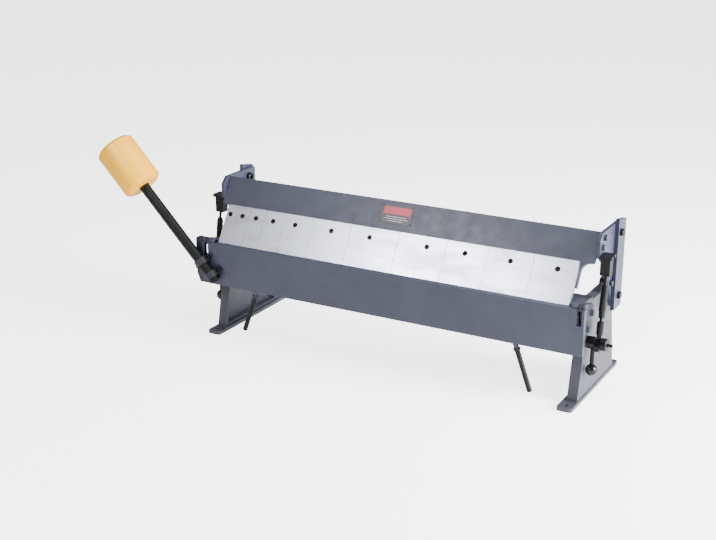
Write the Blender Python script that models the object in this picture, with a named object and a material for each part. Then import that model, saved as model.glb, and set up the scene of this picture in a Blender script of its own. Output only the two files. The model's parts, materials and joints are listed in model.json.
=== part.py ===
"""Hand sheet metal brake for a bench, with a clamping beam, an apron and a counterweight.

Metres, +Z up, +Y towards the back. The machine is drawn with the bend line at X along Y = 0,
and moved at the end so that the origin is the middle of its footprint on the bench.
"""
from math import atan2, cos, pi, radians, sin, sqrt, tan

import bmesh
import bpy
from mathutils import Matrix, Vector

# Fits
SEAT_GAP = 0.0003
RUN_GAP = 0.0003
OVERRUN = 0.010
WELD_OVERLAP = 0.003

# Number of sides of round pieces
FINE_SIDES = 36
ROUND_SIDES = 24
SMALL_SIDES = 12
HEX_SIDES = 12
SOCKET_SIDES = 12
ARC_STEP = radians(22.5)
SMOOTH_ANGLE = radians(32.0)
HEX_CHAMFER = radians(30.0)
HEX_FACE_SHARE = 0.94

# Bed
BLADE_LENGTH = 1.220
BED_HEIGHT = 0.318
BED_DEPTH = 0.112
BED_PLATE = 0.016
BED_FRONT_WEB = 0.016
BED_WEB_DROP = 0.122
BED_END_PLATE = 0.012
BED_RIB = 0.010
BED_LIP = 0.012
BED_CORNER = 0.014
# Place of each rib, as a share of the bed's half length inside its end plates
BED_RIB_SHARE = 0.335
BEND_CLEARANCE = 0.0005
EDGE_CHAMFER = 0.0015
SHEET_CHAMFER = 0.0008

# Side frames
FRAME_WIDTH = 0.032
FRAME_WEB = 0.008
FRAME_FLANGE = 0.010
FRAME_DEPTH = 0.326
FRAME_NOSE_Y = 0.022
FRAME_BOSS_RADIUS = 0.0115
FRAME_CORNER = 0.012
POCKET_CORNER = 0.008
SHAFT_BOSS_RADIUS = 0.023
SHAFT_BOSS_RISE = 0.009
FOOT_THICKNESS = 0.012
FOOT_LIP = 0.012
FOOT_OUTER_LIP = 0.003
FOOT_FRONT = 0.051
FOOT_REAR = 0.047
BENCH_HOLE_RADIUS = 0.0065
BENCH_HOLE_INSET = 0.022
FOOT_CORNER = 0.008
FRAME_TOP_DROP = 0.012
LEG_KNEE_REACH = 0.0219
LEG_KNEE_DROP = 0.0206
# Depth and height along the frame's outline, as shares of FRAME_DEPTH and BED_HEIGHT
LEG_FRONT_FOOT_SHARE = 0.012
LEG_NOSE_HEIGHT_SHARE = 0.745
LEG_REAR_TOP_SHARE = 0.828
LEG_REAR_HIP_SHARES = (0.871, 0.682)

# Bolts from the frames into the bed, as shares of BED_DEPTH and BED_WEB_DROP
BED_BOLT_SHARES = ((0.90, 0.336), (0.90, 0.708))

# Apron hinge
HINGE_PIN_RADIUS = 0.006
HINGE_NOSE_RADIUS = 0.0125
HINGE_BRACKET = 0.012
HINGE_BRACKET_FRONT = 0.004
HINGE_BRACKET_REAR = 0.088
HINGE_BRACKET_DROP = 0.100
HINGE_BRACKET_TOP_DROP = 0.012
HINGE_BRACKET_CORNER = 0.008
HINGE_NECK = 0.026
HINGE_NOSE_START = radians(60.0)
HINGE_NOSE_END = radians(285.0)
# Bracket bolts, as shares of HINGE_BRACKET_REAR and HINGE_BRACKET_DROP
BRACKET_BOLT_SHARES = ((0.52, 0.78), (0.82, 0.36))
SLOT_CLEARANCE = 0.0013
SLOT_DEPTH = 0.050
SLOT_CORNER = 0.003
LUG_RADIUS = 0.013
INNER_LUG = 0.020
KNUCKLE_WEB = 0.012
PIN_END_INSET = 0.002

# Apron
APRON_THICKNESS = 0.016
APRON_HEIGHT = 0.142
APRON_END_WALL = 0.0081
APRON_TOP_GAP = 0.0003

# Bending handles
HANDLE_RADIUS = 0.008
HANDLE_LENGTH = 0.140
# Place of each handle, as a share of the blade's half length
HANDLE_SHARE = 0.746
HANDLE_LEAN = radians(20.0)
HANDLE_SOCKET_RADIUS = 0.0078
HANDLE_SOCKET_LENGTH = 0.014
HANDLE_SOCKET_ROOT = 0.022
HANDLE_THREAD_RADIUS = 0.005
HANDLE_NUT_HEIGHT = 0.008

# Counterweight
WEIGHT_RADIUS = 0.067
WEIGHT_LENGTH = 0.173
WEIGHT_CHAMFER = 0.009
WEIGHT_ROD_RADIUS = 0.0175
WEIGHT_ROD_REACH = 0.400
WEIGHT_ROD_SEAT = 0.110
WEIGHT_LEAN = radians(44.0)
WEIGHT_FOOT_INSET = 0.062
WEIGHT_FOOT_RISE = 0.019
WEIGHT_BRACKET_REACH = 0.024
WEIGHT_BRACKET_CUT = 0.012
WEIGHT_BRACKET_CUT_RISE = 0.030
WEIGHT_BRACKET_RISE = 0.015
WEIGHT_BRACKET_CORNER = 0.010
SADDLE_WALL = 0.004
SADDLE_WIDTH = 0.022
SADDLE_FOOT = 0.017
# Places of the saddles along the rod, from its foot
SADDLE_PLACES = (0.0234, 0.0788)
# Bracket screws, as shares of APRON_HEIGHT
BRACKET_SCREW_SHARES = (0.28, 0.50)
BRACKET_SCREW_GRIP = 0.018

# Clamping fingers
FACE_ANGLE = radians(59.0)
SETBACK = 0.0012
FACE_LENGTH = 0.134
FINGER_THICKNESS = 0.018
FINGER_GAP = 0.0008
FINGER_LAND = 0.010
FINGER_RELIEF = 0.0008
FINGER_SCREW_HEIGHT = 0.100
# Width of each finger, and the place of its screw across it
FINGER_WIDTH_SHARES = (40, 50, 60, 75, 110, 135, 170, 165, 135, 145, 135)
FINGER_SCREW_SHARES = (0.40, 0.48, 0.45, 0.453, 0.39, 0.504, 0.42, 0.61, 0.467, 0.517, 0.57)

# Upper beam
BEAM_PLATE = 0.016
BEAM_LOWER_EDGE = 0.058
BEAM_UPPER_EDGE = 0.233
BEAM_SHOULDER = 0.137
BEAM_OVERHANG = 0.0377
BEAM_LOWER_OVERHANG = 0.003
BEAM_FILLET = 0.026
BEAM_CORNER = 0.006
BEAM_FLANGE = 0.012
BEAM_FLANGE_DEPTH = 0.090
BEAM_RIB = 0.008
BEAM_RIB_HEIGHT = 0.095
# Ribs along the beam, as shares of its half length
BEAM_RIB_SHARES = (-0.76, -0.30, 0.30, 0.76)
BEAM_BOLT_FACE_SHARES = (0.75, 0.92)
BEAM_BOLT_GRIP = 0.018

# Beam end plates, with depths from the bend line and heights above the bed
END_PLATE = 0.012
END_PLATE_FRONT = 0.099
END_PLATE_REAR = 0.285
END_PLATE_TOP = 0.193
END_PLATE_BASE = 0.124
END_PLATE_CHAMFER = 0.021
END_PLATE_TAIL = 0.070
END_PLATE_TAIL_WIDTH = 0.044
END_PLATE_CORNER = 0.006
ARM_ROUND_START = radians(222.0)
ARM_ROUND_END = radians(196.0)
# Waist of the arm, as shares of PIVOT_Y and of END_PLATE_BASE
END_PLATE_WAIST_SHARES = (0.73, 0.70)
PIVOT_Y = 0.213
PIVOT_RISE = 0.013
PIVOT_RADIUS = 0.006
PIVOT_EAR_RADIUS = 0.016
PIVOT_EAR_THICKNESS = 0.012
PIVOT_ARM_RADIUS = 0.017
PIVOT_SPACER_RADIUS = 0.013
PIVOT_SEAT = 0.015
PIVOT_HEAD_FLATS = 0.017
PIVOT_HEAD_HEIGHT = 0.008

# Rear uprights
UPRIGHT = 0.012
UPRIGHT_FRONT = 0.226
UPRIGHT_DEPTH = 0.066
UPRIGHT_TOP = 0.209
UPRIGHT_TOP_FALL = 0.013
UPRIGHT_TAIL = 0.078
UPRIGHT_BOLT_RADIUS = 0.007
# Upright bolts, as shares of UPRIGHT_DEPTH and UPRIGHT_TOP
UPRIGHT_BOLT_SHARES = ((0.29, 0.785), (0.50, -0.18))

# Clamp shafts
SHAFT_Y = 0.082
SHAFT_DROP = 0.132
JOURNAL_RADIUS = 0.012
BUSH_WALL = 0.0025
BUSH_FLANGE = 0.003
BUSH_FLANGE_RADIUS = 0.017
HUB_RADIUS = 0.019
HUB_WIDTH = 0.0245
ECCENTRIC_RADIUS = 0.0115
ECCENTRIC_OFFSET = 0.0066
SHAFT_COLLAR_WIDTH = 0.020
SHAFT_COLLAR_CHAMFER = 0.002
SHAFT_STUB_RADIUS = 0.0048
SHAFT_STUB_LENGTH = 0.016
SHAFT_THREAD_RADIUS = 0.010
SHAFT_THREAD_LENGTH = 0.013
SHAFT_NUT_FLATS = 0.030
SHAFT_NUT_HEIGHT = 0.010

# Clamp levers
LEVER_RADIUS = 0.0065
LEVER_LENGTH = 0.086
LEVER_THREAD_RADIUS = 0.004
LEVER_SEAT = 0.010
LEVER_HUB_SHARE = 0.66
KNOB_RADIUS = 0.018
KNOB_NECK_RADIUS = 0.009
KNOB_BORE_DEPTH = 0.014
KNOB_CROWN = radians(88.0)

# Links
LINK_EYE_RADIUS = 0.019
LINK_EYE_WIDTH = 0.014
LINK_LOWER_RADIUS = 0.0105
LINK_ROOT_RADIUS = 0.0066
LINK_ROOT_END = 0.028
LINK_TAPER_END = 0.038
LINK_NECK_LENGTH = 0.017
LINK_LOWER_LENGTH = 0.072
LINK_THREAD_RADIUS = 0.0045
LINK_THREAD_LENGTH = 0.038
SLEEVE_RADIUS = 0.0105
SLEEVE_LENGTH = 0.093
SLEEVE_FLATS = 0.017
SLEEVE_FLATS_LENGTH = 0.014
SLEEVE_CHAMFER = 0.0015
TIE_ROD_RADIUS = 0.0045
TIE_ROD_TOP_REACH = 0.026
TIE_ROD_GRIP = 0.030
LOCK_NUT_FLATS = 0.016
LOCK_NUT_HEIGHT = 0.006
BLOCK_Y = 0.118
BLOCK_DEPTH = 0.028
BLOCK_OUTER_WALL = 0.0125
BLOCK_HEIGHT = 0.055
BLOCK_CAP = 0.007
BLOCK_CAP_OVERHANG = 0.006
BLOCK_TOP_RISE = 0.124
BLOCK_BORE_CLEARANCE = 0.0038
BLOCK_BORE_DEPTH = 0.040
BLOCK_SCREW_DROP = 0.002

# Hexagon bolts of the frames and end plates
BOLT_RADIUS = 0.005
BOLT_GRIP = 0.009

# Socket screws of the fingers and of the counterweight's bracket
SCREW_RADIUS = 0.005
SCREW_HEAD_RADIUS = 0.008
SCREW_HEAD = 0.010
SCREW_PROUD = 0.0015
SCREW_END_GAP = 0.002
SET_SCREW_RADIUS = 0.005

# Heights and places that follow from the sizes above
BEND_LINE = Vector((0, 0, BED_HEIGHT))
BLADE_HALF = BLADE_LENGTH / 2
FRAME_INNER = BLADE_HALF + SEAT_GAP
FRAME_OUTER = FRAME_INNER + FRAME_WIDTH
WEB_INNER = FRAME_OUTER - FRAME_WEB
BRACKET_INNER = FRAME_OUTER + SEAT_GAP
BRACKET_OUTER = BRACKET_INNER + HINGE_BRACKET
SLOT_INNER = BRACKET_INNER - SLOT_CLEARANCE
SLOT_OUTER = BRACKET_OUTER + SLOT_CLEARANCE
APRON_HALF_LENGTH = SLOT_OUTER + APRON_END_WALL
APRON_BACK = -BEND_CLEARANCE
APRON_FRONT = APRON_BACK - APRON_THICKNESS
APRON_TOP = BED_HEIGHT - APRON_TOP_GAP
APRON_BOTTOM = APRON_TOP - APRON_HEIGHT
KNUCKLE_START = SLOT_INNER - INNER_LUG
KNUCKLE_BASE = APRON_TOP - SLOT_DEPTH - KNUCKLE_WEB
BEAM_HALF = BLADE_HALF + BEAM_OVERHANG
PLATE_INNER = BEAM_HALF + SEAT_GAP
PLATE_OUTER = PLATE_INNER + END_PLATE
BLOCK_INNER = PLATE_OUTER + SEAT_GAP
PIVOT_Z = BED_HEIGHT + PIVOT_RISE
SHAFT_Z = BED_HEIGHT - SHAFT_DROP
SHAFT_BOSS_START = WEB_INNER - SHAFT_BOSS_RISE
BUSH_HOLE_RADIUS = JOURNAL_RADIUS + RUN_GAP + BUSH_WALL + SEAT_GAP
HUB_START = FRAME_OUTER + BUSH_FLANGE + 2 * SEAT_GAP
HUB_END = HUB_START + HUB_WIDTH
EYE_START = HUB_END + SEAT_GAP
EYE_END = EYE_START + LINK_EYE_WIDTH
LINK_X = (EYE_START + EYE_END) / 2
COLLAR_START = EYE_END + SEAT_GAP
EYE_Z = SHAFT_Z - ECCENTRIC_OFFSET
SLEEVE_START = LINK_LOWER_LENGTH + LINK_NECK_LENGTH
SLEEVE_END = SLEEVE_START + SLEEVE_LENGTH
BLOCK_TOP = BED_HEIGHT + BLOCK_TOP_RISE
BLOCK_BOTTOM = BLOCK_TOP - BLOCK_HEIGHT
LEVER_X = HUB_START + LEVER_HUB_SHARE * HUB_WIDTH

# Local planes: outlines are drawn in the first two local axes and extruded along the third
DEPTH_AND_HEIGHT = Matrix(((0, 0, 1, 0), (1, 0, 0, 0), (0, 1, 0, 0), (0, 0, 0, 1)))
LENGTH_AND_DEPTH = Matrix.Identity(4)
LENGTH_AND_HEIGHT = Matrix(((1, 0, 0, 0), (0, 0, 1, 0), (0, 1, 0, 0), (0, 0, 0, 1)))
UP_THE_FACE = Vector((0, cos(FACE_ANGLE), sin(FACE_ANGLE)))
BEHIND_THE_FACE = Vector((0, sin(FACE_ANGLE), -cos(FACE_ANGLE)))
NOSE = BEND_LINE + Vector((0, SETBACK, SEAT_GAP))
WEIGHT_DIRECTION = Vector((-sin(WEIGHT_LEAN), 0, cos(WEIGHT_LEAN)))
LINK_DIRECTION = Vector((0, BLOCK_Y - SHAFT_Y, BLOCK_BOTTOM + TIE_ROD_TOP_REACH - EYE_Z)).normalized()
ALONG = Vector((1, 0, 0))
BACKWARDS = Vector((0, 1, 0))
UPWARDS = Vector((0, 0, 1))

# Colour, roughness and metallic value of each finish
FINISHES = {
    'grey_paint': ('4D5266', 0.50, 0.0),
    'dark_paint': ('2A2C38', 0.55, 0.0),
    'yellow_paint': ('F8BE0C', 0.45, 0.0),
    'bright_steel': ('C9CBDB', 0.30, 1.0),
    'turned_steel': ('8E8E99', 0.35, 1.0),
    'black_steel': ('1B1A22', 0.40, 1.0),
    'bronze': ('A5824A', 0.40, 1.0),
    'black_plastic': ('0C0C12', 0.30, 0.0),
}


# Materials and objects
def linear(channel):
    """Turn one sRGB channel into linear light."""
    return channel / 12.92 if channel <= 0.04045 else ((channel + 0.055) / 1.055) ** 2.4


def material_for(finish):
    """Make the material of a finish once, and give it back afterwards."""
    material = bpy.data.materials.get(finish)
    if material:
        return material
    colour, roughness, metallic = FINISHES[finish]
    material = bpy.data.materials.new(finish)
    material.use_nodes = True
    shader = material.node_tree.nodes['Principled BSDF']
    channels = [linear(int(colour[start:start + 2], 16) / 255) for start in (0, 2, 4)]
    shader.inputs['Base Color'].default_value = (*channels, 1.0)
    shader.inputs['Roughness'].default_value = roughness
    shader.inputs['Metallic'].default_value = metallic
    return material


def object_from(name, mesh_builder):
    """Make an object from a bmesh, with its faces turned outwards."""
    bmesh.ops.recalc_face_normals(mesh_builder, faces=mesh_builder.faces)
    mesh = bpy.data.meshes.new(name)
    mesh_builder.to_mesh(mesh)
    mesh_builder.free()
    piece = bpy.data.objects.new(name, mesh)
    bpy.context.collection.objects.link(piece)
    return piece


def remove_all(pieces):
    """Remove objects that another one has taken in."""
    for piece in pieces:
        bpy.data.objects.remove(piece, do_unlink=True)


def combined(target, operation, tools):
    """Apply exact Booleans to an object and remove the objects that they used."""
    for tool in tools:
        modifier = target.modifiers.new(tool.name, 'BOOLEAN')
        modifier.operation = operation
        modifier.solver = 'EXACT'
        modifier.object = tool
    bpy.context.view_layer.update()
    graph = bpy.context.evaluated_depsgraph_get()
    mesh = bpy.data.meshes.new_from_object(target.evaluated_get(graph))
    target.modifiers.clear()
    target.data = mesh
    remove_all(tools)
    return target


def welded(target, *others):
    """Unite solids into the first one."""
    return combined(target, 'UNION', others)


def cut(target, *cutters):
    """Take cutters out of a solid."""
    return combined(target, 'DIFFERENCE', cutters)


# Outlines
def points_of(outline):
    return [Vector(point) for point in outline]


def arc(centre, radius, first, last):
    """Points along an arc of an outline, with its angles counted from the first axis."""
    steps = max(1, round(abs(last - first) / ARC_STEP))
    angles = [first + (last - first) * step / steps for step in range(steps + 1)]
    return [Vector((centre[0] + radius * cos(angle), centre[1] + radius * sin(angle))) for angle in angles]


def inset(outline, distance):
    """Move every side of an outline inwards."""
    points = points_of(outline)
    area = sum(points[index - 1].cross(point) for index, point in enumerate(points))
    turn = 1 if area > 0 else -1
    moved = []
    for index, point in enumerate(points):
        before = (point - points[index - 1]).normalized()
        after = (points[(index + 1) % len(points)] - point).normalized()
        inward = Vector((-before.y - after.y, before.x + after.x)) * turn
        moved.append(point + inward * 2 * distance / inward.length_squared)
    return moved


def rounded(outline, radius):
    """Round the corners of an outline by one radius, or by a list of radii."""
    corners = points_of(outline)
    radii = radius if isinstance(radius, (list, tuple)) else [radius] * len(corners)
    points = []
    for index, corner in enumerate(corners):
        if not radii[index]:
            points.append(corner)
            continue
        before = (corners[index - 1] - corner).normalized()
        after = (corners[(index + 1) % len(corners)] - corner).normalized()
        half = before.angle(after) / 2
        centre = corner + (before + after).normalized() * radii[index] / sin(half)
        start = corner + before * radii[index] / tan(half) - centre
        sweep = (pi - 2 * half) * (-1 if before.cross(after) > 0 else 1)
        steps = max(1, round(abs(sweep) / ARC_STEP))
        for step in range(steps + 1):
            turned_start = Matrix.Rotation(sweep * step / steps, 2) @ start
            points.append(centre + turned_start)
    return points


def rectangle(low, high):
    """Corners of a rectangle between two opposite ones."""
    return [(low[0], low[1]), (high[0], low[1]), (high[0], high[1]), (low[0], high[1])]


# Solids
def solid_of_rings(name, rings, hollow=False):
    """Close a stack of rings into one solid. A hollow one joins its last ring to its first."""
    builder = bmesh.new()
    loops = [[builder.verts.new(point) for point in ring] for ring in rings]
    pairs = list(zip(loops, loops[1:]))
    if hollow:
        pairs.append((loops[-1], loops[0]))
    for lower, upper in pairs:
        for index, corner in enumerate(lower):
            following = (index + 1) % len(lower)
            builder.faces.new((corner, lower[following], upper[following], upper[index]))
    if not hollow:
        builder.faces.new(loops[0])
        builder.faces.new(loops[-1])
    return object_from(name, builder)


def prism(name, outline, start, end, plane=DEPTH_AND_HEIGHT, chamfer=0):
    """Extrude an outline across its plane from one distance to another."""
    direction = 1 if end > start else -1
    stations = [(start, 0), (end, 0)]
    if chamfer:
        step = direction * chamfer
        stations = [(start, chamfer), (start + step, 0), (end - step, 0), (end, chamfer)]
    rings = []
    for distance, margin in stations:
        ring = inset(outline, margin) if margin else points_of(outline)
        rings.append([plane @ Vector((point.x, point.y, distance)) for point in ring])
    return solid_of_rings(name, rings)


def block(name, low, high):
    """A box between two opposite corners."""
    return prism(name, rectangle(low, high), low[2], high[2], plane=LENGTH_AND_DEPTH)


def aimed(origin, direction):
    """A place at an origin whose third axis points along a direction."""
    turn = UPWARDS.rotation_difference(Vector(direction)).to_matrix().to_4x4()
    return Matrix.Translation(origin) @ turn


def round_ring(place, radius, distance, sides):
    """A circle of points across the third axis of a place."""
    angles = [2 * pi * step / sides for step in range(sides)]
    return [place @ Vector((radius * cos(angle), radius * sin(angle), distance)) for angle in angles]


def hexagon_ring(place, flats, distance, sides, chamfer_radius=0):
    """A hexagon of points, whose corners fall back on a chamfer from a given radius."""
    points = []
    for step in range(sides):
        angle = 2 * pi * step / sides
        radius = flats / 2 / cos(angle % (pi / 3) - pi / 6)
        fall = (radius - chamfer_radius) * tan(HEX_CHAMFER) if chamfer_radius else 0
        points.append(place @ Vector((radius * cos(angle), radius * sin(angle), distance - fall)))
    return points


def turned(name, place, profile, sides=ROUND_SIDES, hollow=False):
    """Turn a profile of radii and distances about the third axis of a place."""
    rings = [round_ring(place, radius, distance, sides) for radius, distance in profile]
    return solid_of_rings(name, rings, hollow)


def rod(name, place, radius, start, end, sides=ROUND_SIDES, chamfer=0):
    """A round bar along the third axis of a place."""
    if not chamfer:
        return turned(name, place, [(radius, start), (radius, end)], sides)
    slim = radius - chamfer
    profile = [(slim, start), (radius, start + chamfer), (radius, end - chamfer), (slim, end)]
    return turned(name, place, profile, sides)


def hexagon_bolt(name, place, flats, head, radius, length):
    """A bolt whose head sits on the origin of a place and whose shank runs against its third axis."""
    face_radius = HEX_FACE_SHARE * flats / 2
    rings = [
        round_ring(place, face_radius, head, HEX_SIDES),
        hexagon_ring(place, flats, head, HEX_SIDES, face_radius),
        hexagon_ring(place, flats, 0, HEX_SIDES),
        round_ring(place, radius, 0, HEX_SIDES),
        round_ring(place, radius, -length, HEX_SIDES),
    ]
    return solid_of_rings(name, rings)


def hexagon_nut(name, place, flats, height, bore):
    """A nut that sits on the origin of a place. The flats of its bore clear the bore's radius."""
    face_radius = HEX_FACE_SHARE * flats / 2
    bore_corner = bore / cos(pi / HEX_SIDES)
    rings = [
        round_ring(place, bore_corner, height, HEX_SIDES),
        round_ring(place, face_radius, height, HEX_SIDES),
        hexagon_ring(place, flats, height, HEX_SIDES, face_radius),
        hexagon_ring(place, flats, 0, HEX_SIDES),
        round_ring(place, bore_corner, 0, HEX_SIDES),
    ]
    return solid_of_rings(name, rings, hollow=True)


def hole(place, radius, start, end, sides=SMALL_SIDES):
    """A cutter for a round hole along the third axis of a place."""
    return rod('hole', place, radius, start, end, sides)


def counterbore(place, length):
    """A cutter for a socket screw: room for its head, and for its shank behind it."""
    head_room = SCREW_HEAD_RADIUS + RUN_GAP
    shank_room = SCREW_RADIUS + RUN_GAP
    profile = [
        (head_room, SCREW_HEAD + OVERRUN),
        (head_room, -SEAT_GAP),
        (shank_room, -SEAT_GAP),
        (shank_room, -length),
    ]
    return turned('counterbore', place, profile, SOCKET_SIDES)


def face_point(across, up, behind):
    """A point given along the bend line, up the finger face, and behind that face."""
    return NOSE + ALONG * across + UP_THE_FACE * up + BEHIND_THE_FACE * behind


def side_name(side):
    return 'right' if side > 0 else 'left'


# Places that several pieces share
def bed_bolt_places():
    """Depth and height of the bolts from a side frame into the bed."""
    return [(depth * BED_DEPTH, BED_HEIGHT - drop * BED_WEB_DROP) for depth, drop in BED_BOLT_SHARES]


def bracket_bolt_places():
    """Depth and height of the bolts of a hinge bracket."""
    return [
        (depth * HINGE_BRACKET_REAR, BED_HEIGHT - drop * HINGE_BRACKET_DROP)
        for depth, drop in BRACKET_BOLT_SHARES
    ]


def upright_bolt_places():
    """Depth and height of the bolts through a rear upright."""
    return [
        (UPRIGHT_FRONT + depth * UPRIGHT_DEPTH, BED_HEIGHT + rise * UPRIGHT_TOP)
        for depth, rise in UPRIGHT_BOLT_SHARES
    ]


def beam_bolt_points(side):
    """Where the end plate's bolts meet the end of the beam's front plate."""
    length = BEAM_UPPER_EDGE - BEAM_LOWER_EDGE
    middle = FINGER_THICKNESS + SEAT_GAP + BEAM_PLATE / 2
    return [
        face_point(side * BEAM_HALF, BEAM_LOWER_EDGE + share * length, middle)
        for share in BEAM_BOLT_FACE_SHARES
    ]


def weight_rod_point(distance, out=0):
    """A point along the counterweight's rod, on its middle line or in front of it."""
    foot = Vector((
        WEIGHT_FOOT_INSET - APRON_HALF_LENGTH,
        APRON_FRONT - SEAT_GAP - WEIGHT_ROD_RADIUS,
        APRON_BOTTOM + WEIGHT_FOOT_RISE,
    ))
    return foot + WEIGHT_DIRECTION * distance - BACKWARDS * out


def saddle_foot_points():
    """Where the saddle bolts stand on the saddles' feet."""
    arm = WEIGHT_ROD_RADIUS + SEAT_GAP + SADDLE_WALL + SADDLE_FOOT / 2
    rise = WEIGHT_ROD_RADIUS - SADDLE_WALL
    across = WEIGHT_DIRECTION.cross(BACKWARDS)
    return [
        weight_rod_point(place, -rise) + across * arm * side
        for place in SADDLE_PLACES for side in (-1, 1)
    ]


def bracket_screw_heights():
    """Heights of the screws that hold the counterweight's bracket."""
    return [APRON_BOTTOM + share * APRON_HEIGHT for share in BRACKET_SCREW_SHARES]


def shaft_place(side):
    """The clamp shaft's line, pointing outwards, from the middle of the machine."""
    return aimed((0, SHAFT_Y, SHAFT_Z), (side, 0, 0))


def link_place(side):
    """The tie rod's line, from the middle of the eccentric."""
    return aimed((side * LINK_X, SHAFT_Y, EYE_Z), LINK_DIRECTION)


def handle_place(side):
    """A bending handle's line, downwards from the apron's lower edge."""
    middle = (APRON_FRONT + APRON_BACK) / 2
    direction = (side * sin(HANDLE_LEAN), 0, -cos(HANDLE_LEAN))
    return aimed((side * BLADE_HALF * HANDLE_SHARE, middle, APRON_BOTTOM), direction)


# Fixed frame
def leg_corners():
    """Corners of a side frame's outline without its ear."""
    hip_depth, hip_height = LEG_REAR_HIP_SHARES
    base = FOOT_THICKNESS - WELD_OVERLAP
    return [
        (FRAME_NOSE_Y + LEG_FRONT_FOOT_SHARE * FRAME_DEPTH, base),
        (FRAME_NOSE_Y + FRAME_DEPTH, base),
        (FRAME_NOSE_Y + hip_depth * FRAME_DEPTH, hip_height * BED_HEIGHT),
        (FRAME_NOSE_Y + LEG_REAR_TOP_SHARE * FRAME_DEPTH, BED_HEIGHT - FRAME_TOP_DROP),
        (BED_DEPTH, BED_HEIGHT - FRAME_TOP_DROP),
        (BED_DEPTH, BED_HEIGHT - SEAT_GAP),
        (FRAME_NOSE_Y, BED_HEIGHT - SEAT_GAP),
        (FRAME_NOSE_Y, LEG_NOSE_HEIGHT_SHARE * BED_HEIGHT),
        (SHAFT_Y - LEG_KNEE_REACH, SHAFT_Z - LEG_KNEE_DROP),
    ]


def side_frame(side):
    """A cast frame: web and flanges, bosses for the bolts and the clamp shaft, ear and foot."""
    outer = rounded(leg_corners(), [0, 0, FRAME_CORNER, FRAME_CORNER, 0, 0, 0, FRAME_CORNER, FRAME_CORNER])
    pocket = rounded(inset(leg_corners(), FRAME_FLANGE), POCKET_CORNER)
    frame = prism('side_frame_' + side_name(side), outer, side * FRAME_INNER, side * FRAME_OUTER)
    cut(frame, prism('pocket', pocket, side * (FRAME_INNER - OVERRUN), side * WEB_INNER))

    ear_half = PIVOT_EAR_RADIUS
    ear_top = PIVOT_Z + PIVOT_EAR_RADIUS
    ear_base = BED_HEIGHT - FRAME_TOP_DROP - WELD_OVERLAP
    ear = rounded([
        (PIVOT_Y - 2 * ear_half, ear_base),
        (PIVOT_Y + 2 * ear_half, ear_base),
        (PIVOT_Y + ear_half, PIVOT_Z),
        (PIVOT_Y + ear_half, ear_top),
        (PIVOT_Y - ear_half, ear_top),
        (PIVOT_Y - ear_half, PIVOT_Z),
    ], [0, 0, 0, ear_half - SHEET_CHAMFER, ear_half - SHEET_CHAMFER, 0])
    foot_inner = FRAME_INNER - FOOT_LIP
    foot_outer = FRAME_OUTER + FOOT_OUTER_LIP
    foot_front = FRAME_NOSE_Y - FOOT_FRONT
    foot_rear = FRAME_NOSE_Y + FRAME_DEPTH + FOOT_REAR
    foot_outline = rounded(
        rectangle((side * foot_inner, foot_front), (side * foot_outer, foot_rear)), FOOT_CORNER)
    foot = prism('foot', foot_outline, 0, FOOT_THICKNESS, plane=LENGTH_AND_DEPTH)
    ear_inner = side * (FRAME_OUTER - PIVOT_EAR_THICKNESS)
    bosses = [
        prism('ear', ear, ear_inner, side * (FRAME_OUTER - SHEET_CHAMFER)),
        foot,
        rod('shaft_boss', shaft_place(side), SHAFT_BOSS_RADIUS, SHAFT_BOSS_START, FRAME_OUTER - SEAT_GAP),
    ]
    for depth, height in bed_bolt_places():
        line = aimed((0, depth, height), (side, 0, 0))
        bosses.append(rod('bolt_boss', line, FRAME_BOSS_RADIUS, FRAME_INNER, FRAME_OUTER - SHEET_CHAMFER))
    welded(frame, *bosses)

    past = FRAME_OUTER + OVERRUN
    before = FRAME_INNER - OVERRUN
    holes = [hole(shaft_place(side), BUSH_HOLE_RADIUS, before, past, ROUND_SIDES)]
    for depth, height in bed_bolt_places() + bracket_bolt_places():
        holes.append(hole(aimed((0, depth, height), (side, 0, 0)), BOLT_RADIUS + RUN_GAP, before, past))
    pivot = aimed((0, PIVOT_Y, PIVOT_Z), (side, 0, 0))
    holes.append(hole(pivot, PIVOT_RADIUS + RUN_GAP, before, past))
    middle = side * (foot_inner + foot_outer) / 2
    for depth in (foot_front + BENCH_HOLE_INSET, foot_rear - BENCH_HOLE_INSET):
        line = aimed((middle, depth, 0), UPWARDS)
        holes.append(hole(line, BENCH_HOLE_RADIUS, -OVERRUN, FOOT_THICKNESS + OVERRUN))
    return cut(frame, *holes)


def bed_plate():
    """The bed's top plate, with a lip along its rear edge."""
    under = BED_HEIGHT - BED_PLATE
    outline = [
        (BEND_CLEARANCE, under),
        (BED_DEPTH - BED_LIP, under),
        (BED_DEPTH - BED_LIP, under - BED_LIP),
        (BED_DEPTH, under - BED_LIP),
        (BED_DEPTH, BED_HEIGHT),
        (BEND_CLEARANCE, BED_HEIGHT),
    ]
    return prism('bed_plate', outline, -BLADE_HALF, BLADE_HALF)


def bed_front_web():
    """The upright plate under the bed's front edge."""
    outline = rectangle(
        (BEND_CLEARANCE, BED_HEIGHT - BED_WEB_DROP),
        (BEND_CLEARANCE + BED_FRONT_WEB, BED_HEIGHT - BED_PLATE - SEAT_GAP),
    )
    return prism('bed_front_web', outline, -BLADE_HALF, BLADE_HALF)


def bed_cross_plate(name, start, end):
    """An upright plate across the bed, behind its front web and round its rear lip."""
    front = BEND_CLEARANCE + BED_FRONT_WEB + SEAT_GAP
    bottom = BED_HEIGHT - BED_WEB_DROP
    top = BED_HEIGHT - BED_PLATE - SEAT_GAP
    outline = [
        (front, bottom),
        (BED_DEPTH - BED_CORNER, bottom),
        (BED_DEPTH, bottom + BED_CORNER),
        (BED_DEPTH, top - BED_LIP),
        (BED_DEPTH - BED_LIP - SEAT_GAP, top - BED_LIP),
        (BED_DEPTH - BED_LIP - SEAT_GAP, top),
        (front, top),
    ]
    return prism(name, outline, start, end)


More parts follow.
